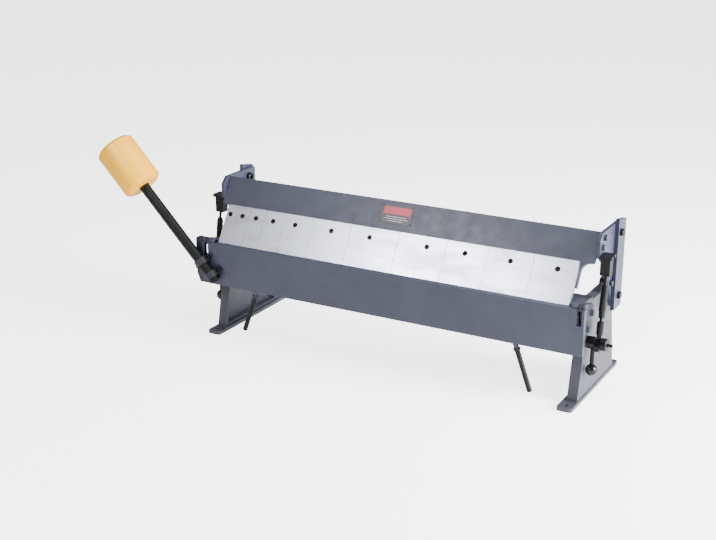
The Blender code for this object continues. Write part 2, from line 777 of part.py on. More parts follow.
def bed_end_plate(side):
    """The cross plate at an end of the bed, tapped for the bolts from the side frame."""
    name = 'bed_end_plate_' + side_name(side)
    plate = bed_cross_plate(name, side * (BLADE_HALF - BED_END_PLATE), side * BLADE_HALF)
    holes = []
    for depth, height in bed_bolt_places():
        line = aimed((0, depth, height), (side, 0, 0))
        start = BLADE_HALF - BED_END_PLATE - OVERRUN
        holes.append(hole(line, BOLT_RADIUS + RUN_GAP, start, BLADE_HALF + OVERRUN))
    return cut(plate, *holes)


def bed_rib(side):
    """The cross plate between two bays of the bed."""
    middle = side * ((BLADE_HALF - BED_END_PLATE) * BED_RIB_SHARE)
    return bed_cross_plate('bed_rib_' + side_name(side), middle - BED_RIB / 2, middle + BED_RIB / 2)


def hinge_bracket(side):
    """A plate on the frame's outer face whose nose carries the apron's hinge pin."""
    top = BED_HEIGHT - HINGE_BRACKET_TOP_DROP
    bottom = BED_HEIGHT - HINGE_BRACKET_DROP
    nose = arc((0, BED_HEIGHT), HINGE_NOSE_RADIUS, HINGE_NOSE_START, HINGE_NOSE_END)
    corner = HINGE_BRACKET_CORNER
    body = rounded([
        (HINGE_BRACKET_FRONT, BED_HEIGHT - HINGE_NECK),
        (HINGE_BRACKET_FRONT, bottom),
        (HINGE_BRACKET_REAR, bottom),
        (HINGE_BRACKET_REAR, top),
        nose[0],
    ], [0, corner, corner, corner, 0])
    outline = nose + body[:-1]
    inner = side * BRACKET_INNER
    outer = side * BRACKET_OUTER
    name = 'hinge_bracket_' + side_name(side)
    bracket = prism(name, outline, inner, outer, chamfer=SHEET_CHAMFER)
    start = BRACKET_INNER - OVERRUN
    end = BRACKET_OUTER + OVERRUN
    pin_line = aimed(BEND_LINE, (side, 0, 0))
    cutters = [hole(pin_line, HINGE_PIN_RADIUS + RUN_GAP, start, end)]
    for depth, height in bracket_bolt_places():
        line = aimed((0, depth, height), (side, 0, 0))
        cutters.append(hole(line, BOLT_RADIUS + RUN_GAP, start, end))
    return cut(bracket, *cutters)


def clamp_bush(side):
    """A flanged bush in the side frame, round the clamp shaft."""
    bore = JOURNAL_RADIUS + RUN_GAP
    wall = bore + BUSH_WALL
    flange_start = FRAME_OUTER + SEAT_GAP
    profile = [
        (wall, SHAFT_BOSS_START + SHEET_CHAMFER),
        (wall, flange_start),
        (BUSH_FLANGE_RADIUS, flange_start),
        (BUSH_FLANGE_RADIUS, flange_start + BUSH_FLANGE),
        (bore, flange_start + BUSH_FLANGE),
        (bore, SHAFT_BOSS_START + SHEET_CHAMFER),
    ]
    return turned('clamp_bush_' + side_name(side), shaft_place(side), profile, hollow=True)


def pivot_pin(side):
    """A shouldered bolt through the beam's end plate into the side frame's ear."""
    seat = PLATE_OUTER + SEAT_GAP
    place = aimed((side * seat, PIVOT_Y, PIVOT_Z), (side, 0, 0))
    length = seat - FRAME_OUTER + PIVOT_SEAT
    name = 'pivot_pin_' + side_name(side)
    return hexagon_bolt(name, place, PIVOT_HEAD_FLATS, PIVOT_HEAD_HEIGHT, PIVOT_RADIUS, length)


# Apron
def apron():
    """The bending leaf: a thick plate, notched for its knuckles, with sockets for the handles."""
    section = rectangle((APRON_FRONT, APRON_BOTTOM), (APRON_BACK, APRON_TOP))
    leaf = prism('apron', section, -APRON_HALF_LENGTH, APRON_HALF_LENGTH)
    sockets = [
        rod('socket', handle_place(side), HANDLE_SOCKET_RADIUS, -HANDLE_SOCKET_ROOT, HANDLE_SOCKET_LENGTH)
        for side in (-1, 1)
    ]
    welded(leaf, *sockets)

    cutters = []
    for side in (-1, 1):
        notch = rectangle(
            (side * (KNUCKLE_START - SEAT_GAP), KNUCKLE_BASE - SEAT_GAP),
            (side * (APRON_HALF_LENGTH + OVERRUN), APRON_TOP + OVERRUN),
        )
        cutters.append(prism('notch', notch, APRON_FRONT - OVERRUN, APRON_BACK + OVERRUN, LENGTH_AND_HEIGHT))
        bore = HANDLE_THREAD_RADIUS + RUN_GAP
        cutters.append(hole(handle_place(side), bore, -HANDLE_SOCKET_ROOT, HANDLE_SOCKET_LENGTH + OVERRUN))
    middle = (APRON_FRONT + APRON_BACK) / 2
    for height in bracket_screw_heights():
        line = aimed((0, middle, height), -ALONG)
        start = APRON_HALF_LENGTH - BRACKET_SCREW_GRIP
        cutters.append(hole(line, SCREW_RADIUS + RUN_GAP, start, APRON_HALF_LENGTH + OVERRUN))
    return cut(leaf, *cutters, *saddle_bolt_cutters())


def apron_knuckle(side):
    """The leaf's welded end that turns on the hinge pin: two lugs beside the bracket's slot."""
    section = rectangle((APRON_FRONT, KNUCKLE_BASE), (APRON_BACK, APRON_TOP))
    name = 'apron_knuckle_' + side_name(side)
    knuckle = prism(name, section, side * KNUCKLE_START, side * APRON_HALF_LENGTH)
    pin_line = aimed(BEND_LINE, (side, 0, 0))
    welded(
        knuckle,
        rod('lugs', pin_line, LUG_RADIUS, KNUCKLE_START + SHEET_CHAMFER, APRON_HALF_LENGTH - SHEET_CHAMFER),
    )
    slot = rounded(rectangle(
        (side * SLOT_INNER, APRON_TOP - SLOT_DEPTH),
        (side * SLOT_OUTER, BED_HEIGHT + LUG_RADIUS + OVERRUN),
    ), [SLOT_CORNER, SLOT_CORNER, 0, 0])
    cutters = [
        prism('slot', slot, APRON_FRONT - OVERRUN, LUG_RADIUS + OVERRUN, LENGTH_AND_HEIGHT),
        hole(pin_line, HINGE_PIN_RADIUS + RUN_GAP, KNUCKLE_START - OVERRUN, APRON_HALF_LENGTH + OVERRUN),
    ]
    if side < 0:
        cutters += saddle_bolt_cutters()
    return cut(knuckle, *cutters)


def saddle_bolt_cutters():
    """Room for the shanks of the saddle bolts, through the saddles' feet and into the leaf."""
    depth = SEAT_GAP + SADDLE_WALL + BOLT_GRIP
    return [
        hole(aimed(point, -BACKWARDS), BOLT_RADIUS + RUN_GAP, -depth, OVERRUN)
        for point in saddle_foot_points()
    ]


def hinge_pin(side):
    """The pin on the bend line, from one lug through the bracket to the other."""
    start = KNUCKLE_START + PIN_END_INSET
    end = APRON_HALF_LENGTH - PIN_END_INSET
    pin_line = aimed(BEND_LINE, (side, 0, 0))
    name = 'hinge_pin_' + side_name(side)
    return rod(name, pin_line, HINGE_PIN_RADIUS, start, end, SMALL_SIDES, SHEET_CHAMFER)


def bending_handle(side):
    """A plain rod screwed into the apron's socket."""
    shoulder = HANDLE_SOCKET_LENGTH + HANDLE_NUT_HEIGHT + 2 * SEAT_GAP
    end = HANDLE_SOCKET_LENGTH + HANDLE_LENGTH
    profile = [
        (HANDLE_THREAD_RADIUS, SEAT_GAP - HANDLE_SOCKET_ROOT),
        (HANDLE_THREAD_RADIUS, shoulder),
        (HANDLE_RADIUS, shoulder),
        (HANDLE_RADIUS, end - EDGE_CHAMFER),
        (HANDLE_RADIUS - EDGE_CHAMFER, end),
    ]
    return turned('bending_handle_' + side_name(side), handle_place(side), profile)


# Counterweight
def counterweight_bracket():
    """A plate on the leaf's left end that backs the counterweight's rod, with its lower corner cut."""
    inner = -APRON_HALF_LENGTH - SEAT_GAP
    outer = inner - WEIGHT_BRACKET_REACH
    outline = rounded([
        (inner, APRON_BOTTOM),
        (outer + WEIGHT_BRACKET_CUT, APRON_BOTTOM),
        (outer, APRON_BOTTOM + WEIGHT_BRACKET_CUT_RISE),
        (outer, APRON_TOP + WEIGHT_BRACKET_RISE),
        (inner, APRON_TOP + WEIGHT_BRACKET_RISE),
    ], [0, 0, 0, WEIGHT_BRACKET_CORNER, 0])
    bracket = prism('counterweight_bracket', outline, APRON_FRONT, APRON_BACK, LENGTH_AND_HEIGHT)
    middle = (APRON_FRONT + APRON_BACK) / 2
    cutters = saddle_bolt_cutters()
    for height in bracket_screw_heights():
        head_seat = aimed((outer + SCREW_HEAD + SEAT_GAP, middle, height), -ALONG)
        cutters.append(counterbore(head_seat, WEIGHT_BRACKET_REACH + OVERRUN))
    return cut(bracket, *cutters)


def counterweight_rod():
    """The rod that carries the weight, in front of the leaf and leaning outwards."""
    line = aimed(weight_rod_point(0), WEIGHT_DIRECTION)
    end = WEIGHT_ROD_REACH + WEIGHT_ROD_SEAT
    return rod('counterweight_rod', line, WEIGHT_ROD_RADIUS, 0, end, ROUND_SIDES, EDGE_CHAMFER)


def weight_screw_place():
    """Where the set screw enters the weight, from behind."""
    return aimed(weight_rod_point(WEIGHT_ROD_REACH + WEIGHT_ROD_SEAT / 2), BACKWARDS)


def counterweight():
    """The turned weight, bored from below for its rod and drilled for its set screw."""
    start = WEIGHT_ROD_REACH
    end = start + WEIGHT_LENGTH
    slim = WEIGHT_RADIUS - WEIGHT_CHAMFER
    profile = [
        (slim, start),
        (WEIGHT_RADIUS, start + WEIGHT_CHAMFER),
        (WEIGHT_RADIUS, end - WEIGHT_CHAMFER),
        (slim, end),
    ]
    line = aimed(weight_rod_point(0), WEIGHT_DIRECTION)
    weight = turned('counterweight', line, profile, FINE_SIDES)
    seat_end = start + WEIGHT_ROD_SEAT + SCREW_END_GAP
    rod_room = hole(line, WEIGHT_ROD_RADIUS + RUN_GAP, start - OVERRUN, seat_end, ROUND_SIDES)
    screw_room = hole(weight_screw_place(), SET_SCREW_RADIUS + RUN_GAP, 0, WEIGHT_RADIUS + OVERRUN)
    return cut(weight, rod_room, screw_room)


def rod_saddle(number):
    """A strap that holds the counterweight's rod against the leaf."""
    bore = WEIGHT_ROD_RADIUS + SEAT_GAP
    outer = bore + SADDLE_WALL
    reach = outer + SADDLE_FOOT
    seat = -WEIGHT_ROD_RADIUS
    foot_top = seat + SADDLE_WALL
    across = WEIGHT_DIRECTION.cross(BACKWARDS)
    centre = weight_rod_point(SADDLE_PLACES[number])
    plane = Matrix.Translation(centre) @ Matrix((
        (across.x, -BACKWARDS.x, WEIGHT_DIRECTION.x, 0),
        (across.y, -BACKWARDS.y, WEIGHT_DIRECTION.y, 0),
        (across.z, -BACKWARDS.z, WEIGHT_DIRECTION.z, 0),
        (0, 0, 0, 1),
    ))
    outline = [
        (bore, seat), (reach, seat), (reach, foot_top), (outer, foot_top), *arc((0, 0), outer, 0, pi),
        (-outer, foot_top), (-reach, foot_top), (-reach, seat), (-bore, seat),
        *arc((0, 0), bore / cos(ARC_STEP / 2), pi, 0),
    ]
    strap = prism(f'rod_saddle_{number + 1}', outline, -SADDLE_WIDTH / 2, SADDLE_WIDTH / 2, plane)
    return cut(strap, *saddle_bolt_cutters())


# Clamping fingers
def finger_edges():
    """Left edge and width of each finger along the blade."""
    whole = sum(FINGER_WIDTH_SHARES)
    left = -BLADE_HALF
    edges = []
    for share in FINGER_WIDTH_SHARES:
        width = BLADE_LENGTH * share / whole
        edges.append((left + FINGER_GAP / 2, width - FINGER_GAP))
        left += width
    return edges


def finger_screw_point(number, behind):
    """A point on the line of one finger's screw."""
    left, width = finger_edges()[number]
    return face_point(left + width * FINGER_SCREW_SHARES[number], FINGER_SCREW_HEIGHT, behind)


def finger(number):
    """One segment of the blade: a slanted plate with a short clamping land under its nose."""
    left, width = finger_edges()[number]
    thickness = FINGER_THICKNESS
    land_end = Vector((FINGER_LAND, 0))
    heel = Vector((thickness / sin(FACE_ANGLE) + FINGER_RELIEF / tan(FACE_ANGLE), FINGER_RELIEF))
    up = Vector((cos(FACE_ANGLE), sin(FACE_ANGLE)))
    behind = Vector((sin(FACE_ANGLE), -cos(FACE_ANGLE)))
    nose = Vector((NOSE.y, NOSE.z))
    outline = [
        nose,
        nose + land_end,
        nose + heel,
        nose + up * FACE_LENGTH + behind * thickness,
        nose + up * FACE_LENGTH + behind * EDGE_CHAMFER,
        nose + up * (FACE_LENGTH - EDGE_CHAMFER),
    ]
    segment = prism(f'finger_{number + 1:02d}', outline, left, left + width)
    seat = finger_screw_point(number, SCREW_HEAD - SCREW_PROUD)
    return cut(segment, counterbore(aimed(seat, -BEHIND_THE_FACE), thickness))


# Upper beam
def upper_beam():
    """The slanted front plate with curved shoulders, its back flange and its ribs."""
    front = FINGER_THICKNESS + SEAT_GAP
    back = front + BEAM_PLATE
    lower_half = BLADE_HALF + BEAM_LOWER_OVERHANG
    outline = rounded([
        (-lower_half, BEAM_LOWER_EDGE),
        (lower_half, BEAM_LOWER_EDGE),
        (lower_half, BEAM_SHOULDER),
        (BEAM_HALF, BEAM_SHOULDER),
        (BEAM_HALF, BEAM_UPPER_EDGE),
        (-BEAM_HALF, BEAM_UPPER_EDGE),
        (-BEAM_HALF, BEAM_SHOULDER),
        (-lower_half, BEAM_SHOULDER),
    ], [0, 0, BEAM_FILLET, BEAM_CORNER, 0, 0, BEAM_CORNER, BEAM_FILLET])
    face_plane = Matrix((
        (1, 0, 0, NOSE.x),
        (0, UP_THE_FACE.y, BEHIND_THE_FACE.y, NOSE.y),
        (0, UP_THE_FACE.z, BEHIND_THE_FACE.z, NOSE.z),
        (0, 0, 0, 1),
    ))
    beam = prism('upper_beam', outline, front, back, face_plane)

    section_plane = Matrix((
        (0, 0, 1, NOSE.x),
        (UP_THE_FACE.y, BEHIND_THE_FACE.y, 0, NOSE.y),
        (UP_THE_FACE.z, BEHIND_THE_FACE.z, 0, NOSE.z),
        (0, 0, 0, 1),
    ))
    under_flange = BEAM_UPPER_EDGE - BEAM_FLANGE
    flange_outline = rectangle(
        (under_flange, front + BEAM_PLATE / 2), (BEAM_UPPER_EDGE - SHEET_CHAMFER, back + BEAM_FLANGE_DEPTH))
    flange_half = BEAM_HALF - SHEET_CHAMFER
    parts = [prism('flange', flange_outline, -flange_half, flange_half, section_plane)]
    rib_outline = [
        (under_flange + WELD_OVERLAP, back - WELD_OVERLAP),
        (under_flange + WELD_OVERLAP, back + BEAM_FLANGE_DEPTH - BEAM_FLANGE),
        (under_flange - BEAM_RIB, back + BEAM_FLANGE_DEPTH - BEAM_FLANGE),
        (under_flange - BEAM_RIB_HEIGHT, back + BEAM_RIB),
        (under_flange - BEAM_RIB_HEIGHT, back - WELD_OVERLAP),
    ]
    for share in BEAM_RIB_SHARES:
        middle = share * BEAM_HALF
        parts.append(prism(
            'rib', rib_outline, middle - BEAM_RIB / 2, middle + BEAM_RIB / 2, section_plane))
    welded(beam, *parts)

    cutters = []
    for number in range(len(FINGER_WIDTH_SHARES)):
        line = aimed(finger_screw_point(number, 0), BEHIND_THE_FACE)
        cutters.append(hole(line, SCREW_RADIUS + RUN_GAP, front - OVERRUN, back + OVERRUN))
    for side in (-1, 1):
        for point in beam_bolt_points(side):
            line = aimed(point, (side, 0, 0))
            cutters.append(hole(line, BOLT_RADIUS + RUN_GAP, -BEAM_BOLT_GRIP - SCREW_END_GAP, OVERRUN))
    return cut(beam, *cutters)


def beam_end_plate(side):
    """An end arm: it closes the beam's end, reaches back and down, and turns on the pivot pin."""
    top = BED_HEIGHT + END_PLATE_TOP
    base = BED_HEIGHT + END_PLATE_BASE
    tail = BED_HEIGHT - END_PLATE_TAIL
    waist_depth, waist_height = END_PLATE_WAIST_SHARES
    waist = (PIVOT_Y * waist_depth, BED_HEIGHT + END_PLATE_BASE * waist_height)
    front_corners = rounded([
        waist,
        (END_PLATE_FRONT, base),
        (END_PLATE_FRONT, top - END_PLATE_CHAMFER),
        (END_PLATE_FRONT + END_PLATE_CHAMFER, top),
        (END_PLATE_REAR, top),
        (END_PLATE_REAR, tail),
        (END_PLATE_REAR - END_PLATE_TAIL_WIDTH, tail),
    ], [0, END_PLATE_CORNER, END_PLATE_CORNER, END_PLATE_CORNER, END_PLATE_CORNER, END_PLATE_CORNER, 0])
    arm = arc((PIVOT_Y, PIVOT_Z), PIVOT_ARM_RADIUS, ARM_ROUND_START, ARM_ROUND_END)
    outline = front_corners + arm
    inner = side * PLATE_INNER
    outer = side * PLATE_OUTER
    name = 'beam_end_plate_' + side_name(side)
    plate = prism(name, outline, inner, outer, chamfer=SHEET_CHAMFER)
    pivot = aimed((0, PIVOT_Y, PIVOT_Z), (side, 0, 0))
    spacer_start = FRAME_OUTER + SEAT_GAP
    welded(plate, rod('spacer', pivot, PIVOT_SPACER_RADIUS, spacer_start, PLATE_INNER + END_PLATE / 2))

    start = FRAME_OUTER - OVERRUN
    end = PLATE_OUTER + OVERRUN
    cutters = [hole(pivot, PIVOT_RADIUS + RUN_GAP, start, end)]
    for point in beam_bolt_points(side):
        line = aimed((0, point.y, point.z), (side, 0, 0))
        cutters.append(hole(line, BOLT_RADIUS + RUN_GAP, start, end))
    for depth, height in upright_bolt_places():
        line = aimed((0, depth, height), (side, 0, 0))
        cutters.append(hole(line, UPRIGHT_BOLT_RADIUS + RUN_GAP, start, end))
    line = aimed((0, BLOCK_Y, block_screw_height()), (side, 0, 0))
    cutters.append(hole(line, SCREW_RADIUS + RUN_GAP, start, end))
    return cut(plate, *cutters)


def rear_upright(side):
    """A flat bar on the outside of the end plate, with a top that falls to the rear."""
    top = BED_HEIGHT + UPRIGHT_TOP
    rear = UPRIGHT_FRONT + UPRIGHT_DEPTH
    tail = BED_HEIGHT - UPRIGHT_TAIL
    outline = [
        (UPRIGHT_FRONT, tail),
        (rear, tail),
        (rear, top - UPRIGHT_TOP_FALL),
        (UPRIGHT_FRONT, top),
    ]
    inner = side * BLOCK_INNER
    outer = side * (BLOCK_INNER + UPRIGHT)
    name = 'rear_upright_' + side_name(side)
    bar = prism(name, outline, inner, outer, chamfer=SHEET_CHAMFER)
    cutters = []
    for depth, height in upright_bolt_places():
        line = aimed((0, depth, height), (side, 0, 0))
        start = BLOCK_INNER - OVERRUN
        end = BLOCK_INNER + UPRIGHT + OVERRUN
        cutters.append(hole(line, UPRIGHT_BOLT_RADIUS + RUN_GAP, start, end))
    return cut(bar, *cutters)


# Link blocks
def block_screw_height():
    return BLOCK_TOP - BLOCK_SCREW_DROP


def link_block(side):
    """A block on the end plate with a wider cap, bored from below for the tie rod."""
    inner = side * BLOCK_INNER
    outer = side * (LINK_X + BLOCK_OUTER_WALL)
    half = BLOCK_DEPTH / 2
    name = 'link_block_' + side_name(side)
    body = block(name, (inner, BLOCK_Y - half, BLOCK_BOTTOM), (outer, BLOCK_Y + half, BLOCK_TOP))
    cap_outer = side * (LINK_X + BLOCK_OUTER_WALL + BLOCK_CAP_OVERHANG)
    cap_half = half + BLOCK_CAP_OVERHANG
    cap_inner = side * (BLOCK_INNER + SHEET_CHAMFER)
    cap_outline = rounded(
        rectangle((cap_inner, BLOCK_Y - cap_half), (cap_outer, BLOCK_Y + cap_half)), EDGE_CHAMFER)
    cap_bottom = BLOCK_TOP - WELD_OVERLAP
    welded(body, prism('cap', cap_outline, cap_bottom, BLOCK_TOP + BLOCK_CAP, LENGTH_AND_DEPTH))
    line = aimed((0, BLOCK_Y, block_screw_height()), (side, 0, 0))
    seat = line @ Matrix.Translation(UPWARDS * (LINK_X + BLOCK_OUTER_WALL - SCREW_HEAD + SCREW_PROUD))
    room = TIE_ROD_RADIUS + BLOCK_BORE_CLEARANCE
    depth = BLOCK_BORE_DEPTH / LINK_DIRECTION.z
    foot = (BLOCK_BOTTOM - EYE_Z) / LINK_DIRECTION.z
    bore = hole(link_place(side), room, foot - OVERRUN, foot + depth, ROUND_SIDES)
    return cut(body, bore, counterbore(seat, LINK_X + BLOCK_OUTER_WALL - BLOCK_INNER))


# Clamp shafts and levers
def clamp_shaft(side):
    """A shaft in the side frame with a lever hub and an eccentric."""
    thread_start = SHAFT_BOSS_START - SHAFT_THREAD_LENGTH
    profile = [
        (SHAFT_THREAD_RADIUS - SHEET_CHAMFER, thread_start),
        (SHAFT_THREAD_RADIUS, thread_start + SHEET_CHAMFER),
        (SHAFT_THREAD_RADIUS, SHAFT_BOSS_START),
        (JOURNAL_RADIUS, SHAFT_BOSS_START),
        (JOURNAL_RADIUS, HUB_START),
        (HUB_RADIUS - EDGE_CHAMFER, HUB_START),
        (HUB_RADIUS, HUB_START + EDGE_CHAMFER),
        (HUB_RADIUS, HUB_END),
        (SHAFT_STUB_RADIUS, HUB_END),
        (SHAFT_STUB_RADIUS, COLLAR_START + SHAFT_COLLAR_WIDTH + SHAFT_STUB_LENGTH),
    ]
    line = shaft_place(side)
    shaft = turned('clamp_shaft_' + side_name(side), line, profile)
    centre = aimed((0, SHAFT_Y, EYE_Z), (side, 0, 0))
    welded(shaft, rod('eccentric', centre, ECCENTRIC_RADIUS, HUB_END - WELD_OVERLAP, EYE_END))
    seat = lever_place(side)
    bore = LEVER_THREAD_RADIUS + RUN_GAP
    return cut(shaft, hole(seat, bore, HUB_RADIUS - LEVER_SEAT, HUB_RADIUS + OVERRUN))


def shaft_nut(side):
    """The nut that holds the clamp shaft in the side frame."""
    place = aimed((side * (SHAFT_BOSS_START - SEAT_GAP), SHAFT_Y, SHAFT_Z), (-side, 0, 0))
    bore = SHAFT_THREAD_RADIUS + RUN_GAP
    return hexagon_nut('shaft_nut_' + side_name(side), place, SHAFT_NUT_FLATS, SHAFT_NUT_HEIGHT, bore)


def shaft_collar(side):
    """The end collar that keeps the link on its eccentric."""
    start = COLLAR_START
    end = start + SHAFT_COLLAR_WIDTH
    bore = SHAFT_STUB_RADIUS + RUN_GAP
    slim = HUB_RADIUS - SHAFT_COLLAR_CHAMFER
    profile = [
        (bore, start),
        (slim, start),
        (HUB_RADIUS, start + SHAFT_COLLAR_CHAMFER),
        (HUB_RADIUS, end - SHAFT_COLLAR_CHAMFER),
        (slim, end),
        (bore, end),
    ]
    return turned('shaft_collar_' + side_name(side), shaft_place(side), profile, hollow=True)


def lever_place(side):
    """The lever's line, from the clamp shaft straight down."""
    return aimed((side * LEVER_X, SHAFT_Y, SHAFT_Z), -UPWARDS)


def knob_face():
    """Distance from the clamp shaft to the knob's flat neck."""
    return LEVER_LENGTH - sqrt(KNOB_RADIUS ** 2 - KNOB_NECK_RADIUS ** 2)


def clamp_lever(side):
    """A short lever screwed into the hub, with a thread for its knob."""
    start = HUB_RADIUS + SEAT_GAP
    end = knob_face() - SEAT_GAP
    profile = [
        (LEVER_THREAD_RADIUS, start - LEVER_SEAT),
        (LEVER_THREAD_RADIUS, start),
        (LEVER_RADIUS, start),
        (LEVER_RADIUS, end),
        (LEVER_THREAD_RADIUS, end),
        (LEVER_THREAD_RADIUS, end + KNOB_BORE_DEPTH),
    ]
    return turned('clamp_lever_' + side_name(side), lever_place(side), profile, SMALL_SIDES)


def ball_knob(side):
    """A ball knob with a flat neck and a blind bore."""
    neck = atan2(knob_face() - LEVER_LENGTH, KNOB_NECK_RADIUS)
    ball = arc((0, LEVER_LENGTH), KNOB_RADIUS, neck, KNOB_CROWN)
    bore = LEVER_THREAD_RADIUS + RUN_GAP
    floor = knob_face() + KNOB_BORE_DEPTH + SEAT_GAP
    profile = [(bore, floor), (bore, knob_face()), *[(point.x, point.y) for point in ball]]
    return turned('ball_knob_' + side_name(side), lever_place(side), profile, SOCKET_SIDES)


# Links
def link_eye(side):
    """The lower rod, with an eye round the eccentric and a thread at its top."""
    line = link_place(side)
    centre = aimed((0, SHAFT_Y, EYE_Z), (side, 0, 0))
    name = 'link_eye_' + side_name(side)
    eye = rod(name, centre, LINK_EYE_RADIUS, EYE_START, EYE_END, ROUND_SIDES, SHEET_CHAMFER)
    profile = [
        (LINK_ROOT_RADIUS, LINK_EYE_RADIUS - WELD_OVERLAP),
        (LINK_ROOT_RADIUS, LINK_ROOT_END),
        (LINK_LOWER_RADIUS, LINK_TAPER_END),
        (LINK_LOWER_RADIUS, LINK_LOWER_LENGTH - EDGE_CHAMFER),
        (LINK_LOWER_RADIUS - EDGE_CHAMFER, LINK_LOWER_LENGTH),
        (LINK_THREAD_RADIUS, LINK_LOWER_LENGTH),
        (LINK_THREAD_RADIUS, LINK_LOWER_LENGTH + LINK_THREAD_LENGTH),
    ]
    welded(eye, turned('shank', line, profile, SOCKET_SIDES))
    bore = hole(centre, ECCENTRIC_RADIUS + RUN_GAP, EYE_START - OVERRUN, EYE_END + OVERRUN, ROUND_SIDES)
    return cut(eye, bore)


def turnbuckle(side):
    """The adjusting sleeve with its spanner flats and a lock nut run up to each end."""
    line = link_place(side)
    bore = LINK_THREAD_RADIUS + RUN_GAP
    flats_end = SLEEVE_START + SLEEVE_FLATS_LENGTH
    flats_face = HEX_FACE_SHARE * SLEEVE_FLATS / 2
    nut_face = HEX_FACE_SHARE * LOCK_NUT_FLATS / 2
    bottom = SLEEVE_START - LOCK_NUT_HEIGHT
    top = SLEEVE_END + LOCK_NUT_HEIGHT
    rings = [
        round_ring(line, bore, bottom, SOCKET_SIDES),
        round_ring(line, nut_face, bottom, SOCKET_SIDES),
        hexagon_ring(line, LOCK_NUT_FLATS, bottom + SLEEVE_CHAMFER, SOCKET_SIDES),
        hexagon_ring(line, LOCK_NUT_FLATS, SLEEVE_START, SOCKET_SIDES),
        round_ring(line, flats_face, SLEEVE_START, SOCKET_SIDES),
        hexagon_ring(line, SLEEVE_FLATS, SLEEVE_START + SLEEVE_CHAMFER, SOCKET_SIDES),
        hexagon_ring(line, SLEEVE_FLATS, flats_end, SOCKET_SIDES),
        round_ring(line, SLEEVE_RADIUS, flats_end + SLEEVE_CHAMFER, SOCKET_SIDES),
        round_ring(line, SLEEVE_RADIUS, SLEEVE_END - SLEEVE_CHAMFER, SOCKET_SIDES),
        round_ring(line, SLEEVE_RADIUS - SLEEVE_CHAMFER, SLEEVE_END, SOCKET_SIDES),
        hexagon_ring(line, LOCK_NUT_FLATS, SLEEVE_END, SOCKET_SIDES),
        hexagon_ring(line, LOCK_NUT_FLATS, top - SLEEVE_CHAMFER, SOCKET_SIDES),
        round_ring(line, nut_face, top, SOCKET_SIDES),
        round_ring(line, bore, top, SOCKET_SIDES),
    ]
    return solid_of_rings('turnbuckle_' + side_name(side), rings, hollow=True)


def tie_rod(side):
    """The thin rod from the sleeve up into the link block."""
    start = SLEEVE_END - TIE_ROD_GRIP
    end = (BLOCK_BOTTOM + TIE_ROD_TOP_REACH - EYE_Z) / LINK_DIRECTION.z
    name = 'tie_rod_' + side_name(side)
    return rod(name, link_place(side), TIE_ROD_RADIUS, start, end, SMALL_SIDES, SHEET_CHAMFER)


# Assembly
def both_sides(maker):
    """Make a piece for the left and for the right."""
    return [maker(side) for side in (-1, 1)]


def fixed_pieces():
    """The frame and what stands still with it, by finish."""
    return {
        'grey_paint': [
            *both_sides(side_frame), bed_plate(), bed_front_web(),
            *both_sides(bed_end_plate), *both_sides(bed_rib),
        ],
        'dark_paint': both_sides(hinge_bracket),
        'bronze': both_sides(clamp_bush),
        'turned_steel': both_sides(pivot_pin),
    }


def apron_pieces():
    """The apron and what swings with it, by finish."""
    return {
        'grey_paint': [apron(), *both_sides(apron_knuckle)],
        'turned_steel': both_sides(hinge_pin),
        'black_steel': [*both_sides(bending_handle), counterweight_rod()],
        'dark_paint': [counterweight_bracket(), rod_saddle(0), rod_saddle(1)],
        'yellow_paint': [counterweight()],
    }


def beam_pieces():
    """The upper beam and what lifts with it, by finish."""
    fingers = [finger(number) for number in range(len(FINGER_WIDTH_SHARES))]
    return {
        'grey_paint': [upper_beam(), *both_sides(beam_end_plate), *both_sides(rear_upright)],
        'bright_steel': fingers,
        'black_steel': both_sides(link_block),
    }


def clamp_pieces(side):
    """One clamp shaft with its lever, by finish."""
    return {
        'black_steel': [clamp_shaft(side), shaft_collar(side)],
        'turned_steel': [clamp_lever(side), shaft_nut(side)],
        'black_plastic': [ball_knob(side)],
    }


def link_pieces(side):
    """One tie rod with its sleeve, by finish."""
    return {'black_steel': [link_eye(side), turnbuckle(side), tie_rod(side)]}


def empty_at(name, point, parent=None):
    """An empty that carries the pieces of one body on its joint's axis."""
    holder = bpy.data.objects.new(name, None)
    bpy.context.collection.objects.link(holder)
    holder.location = point
    holder.parent = parent
    return holder


def hang(pieces_by_finish, holder):
    """Give pieces their finish and smooth shading, and parent them where they stand."""
    for finish, pieces in pieces_by_finish.items():
        for piece in pieces:
            piece.data.materials.clear()
            piece.data.materials.append(material_for(finish))
            piece.data.shade_smooth()
            piece.data.set_sharp_from_angle(angle=SMOOTH_ANGLE)
            if holder.parent:
                piece.location = -holder.location
            piece.parent = holder


def footprint_shift():
    """The move that brings the middle of the machine's box onto the bench at the origin."""
    corners = [
        piece.matrix_world @ vertex.co
        for piece in bpy.data.objects if piece.type == 'MESH' for vertex in piece.data.vertices
    ]
    low = Vector([min(corner[axis] for corner in corners) for axis in range(3)])
    high = Vector([max(corner[axis] for corner in corners) for axis in range(3)])
    middle = (low + high) / 2
    return Vector((-middle.x, -middle.y, -low.z))


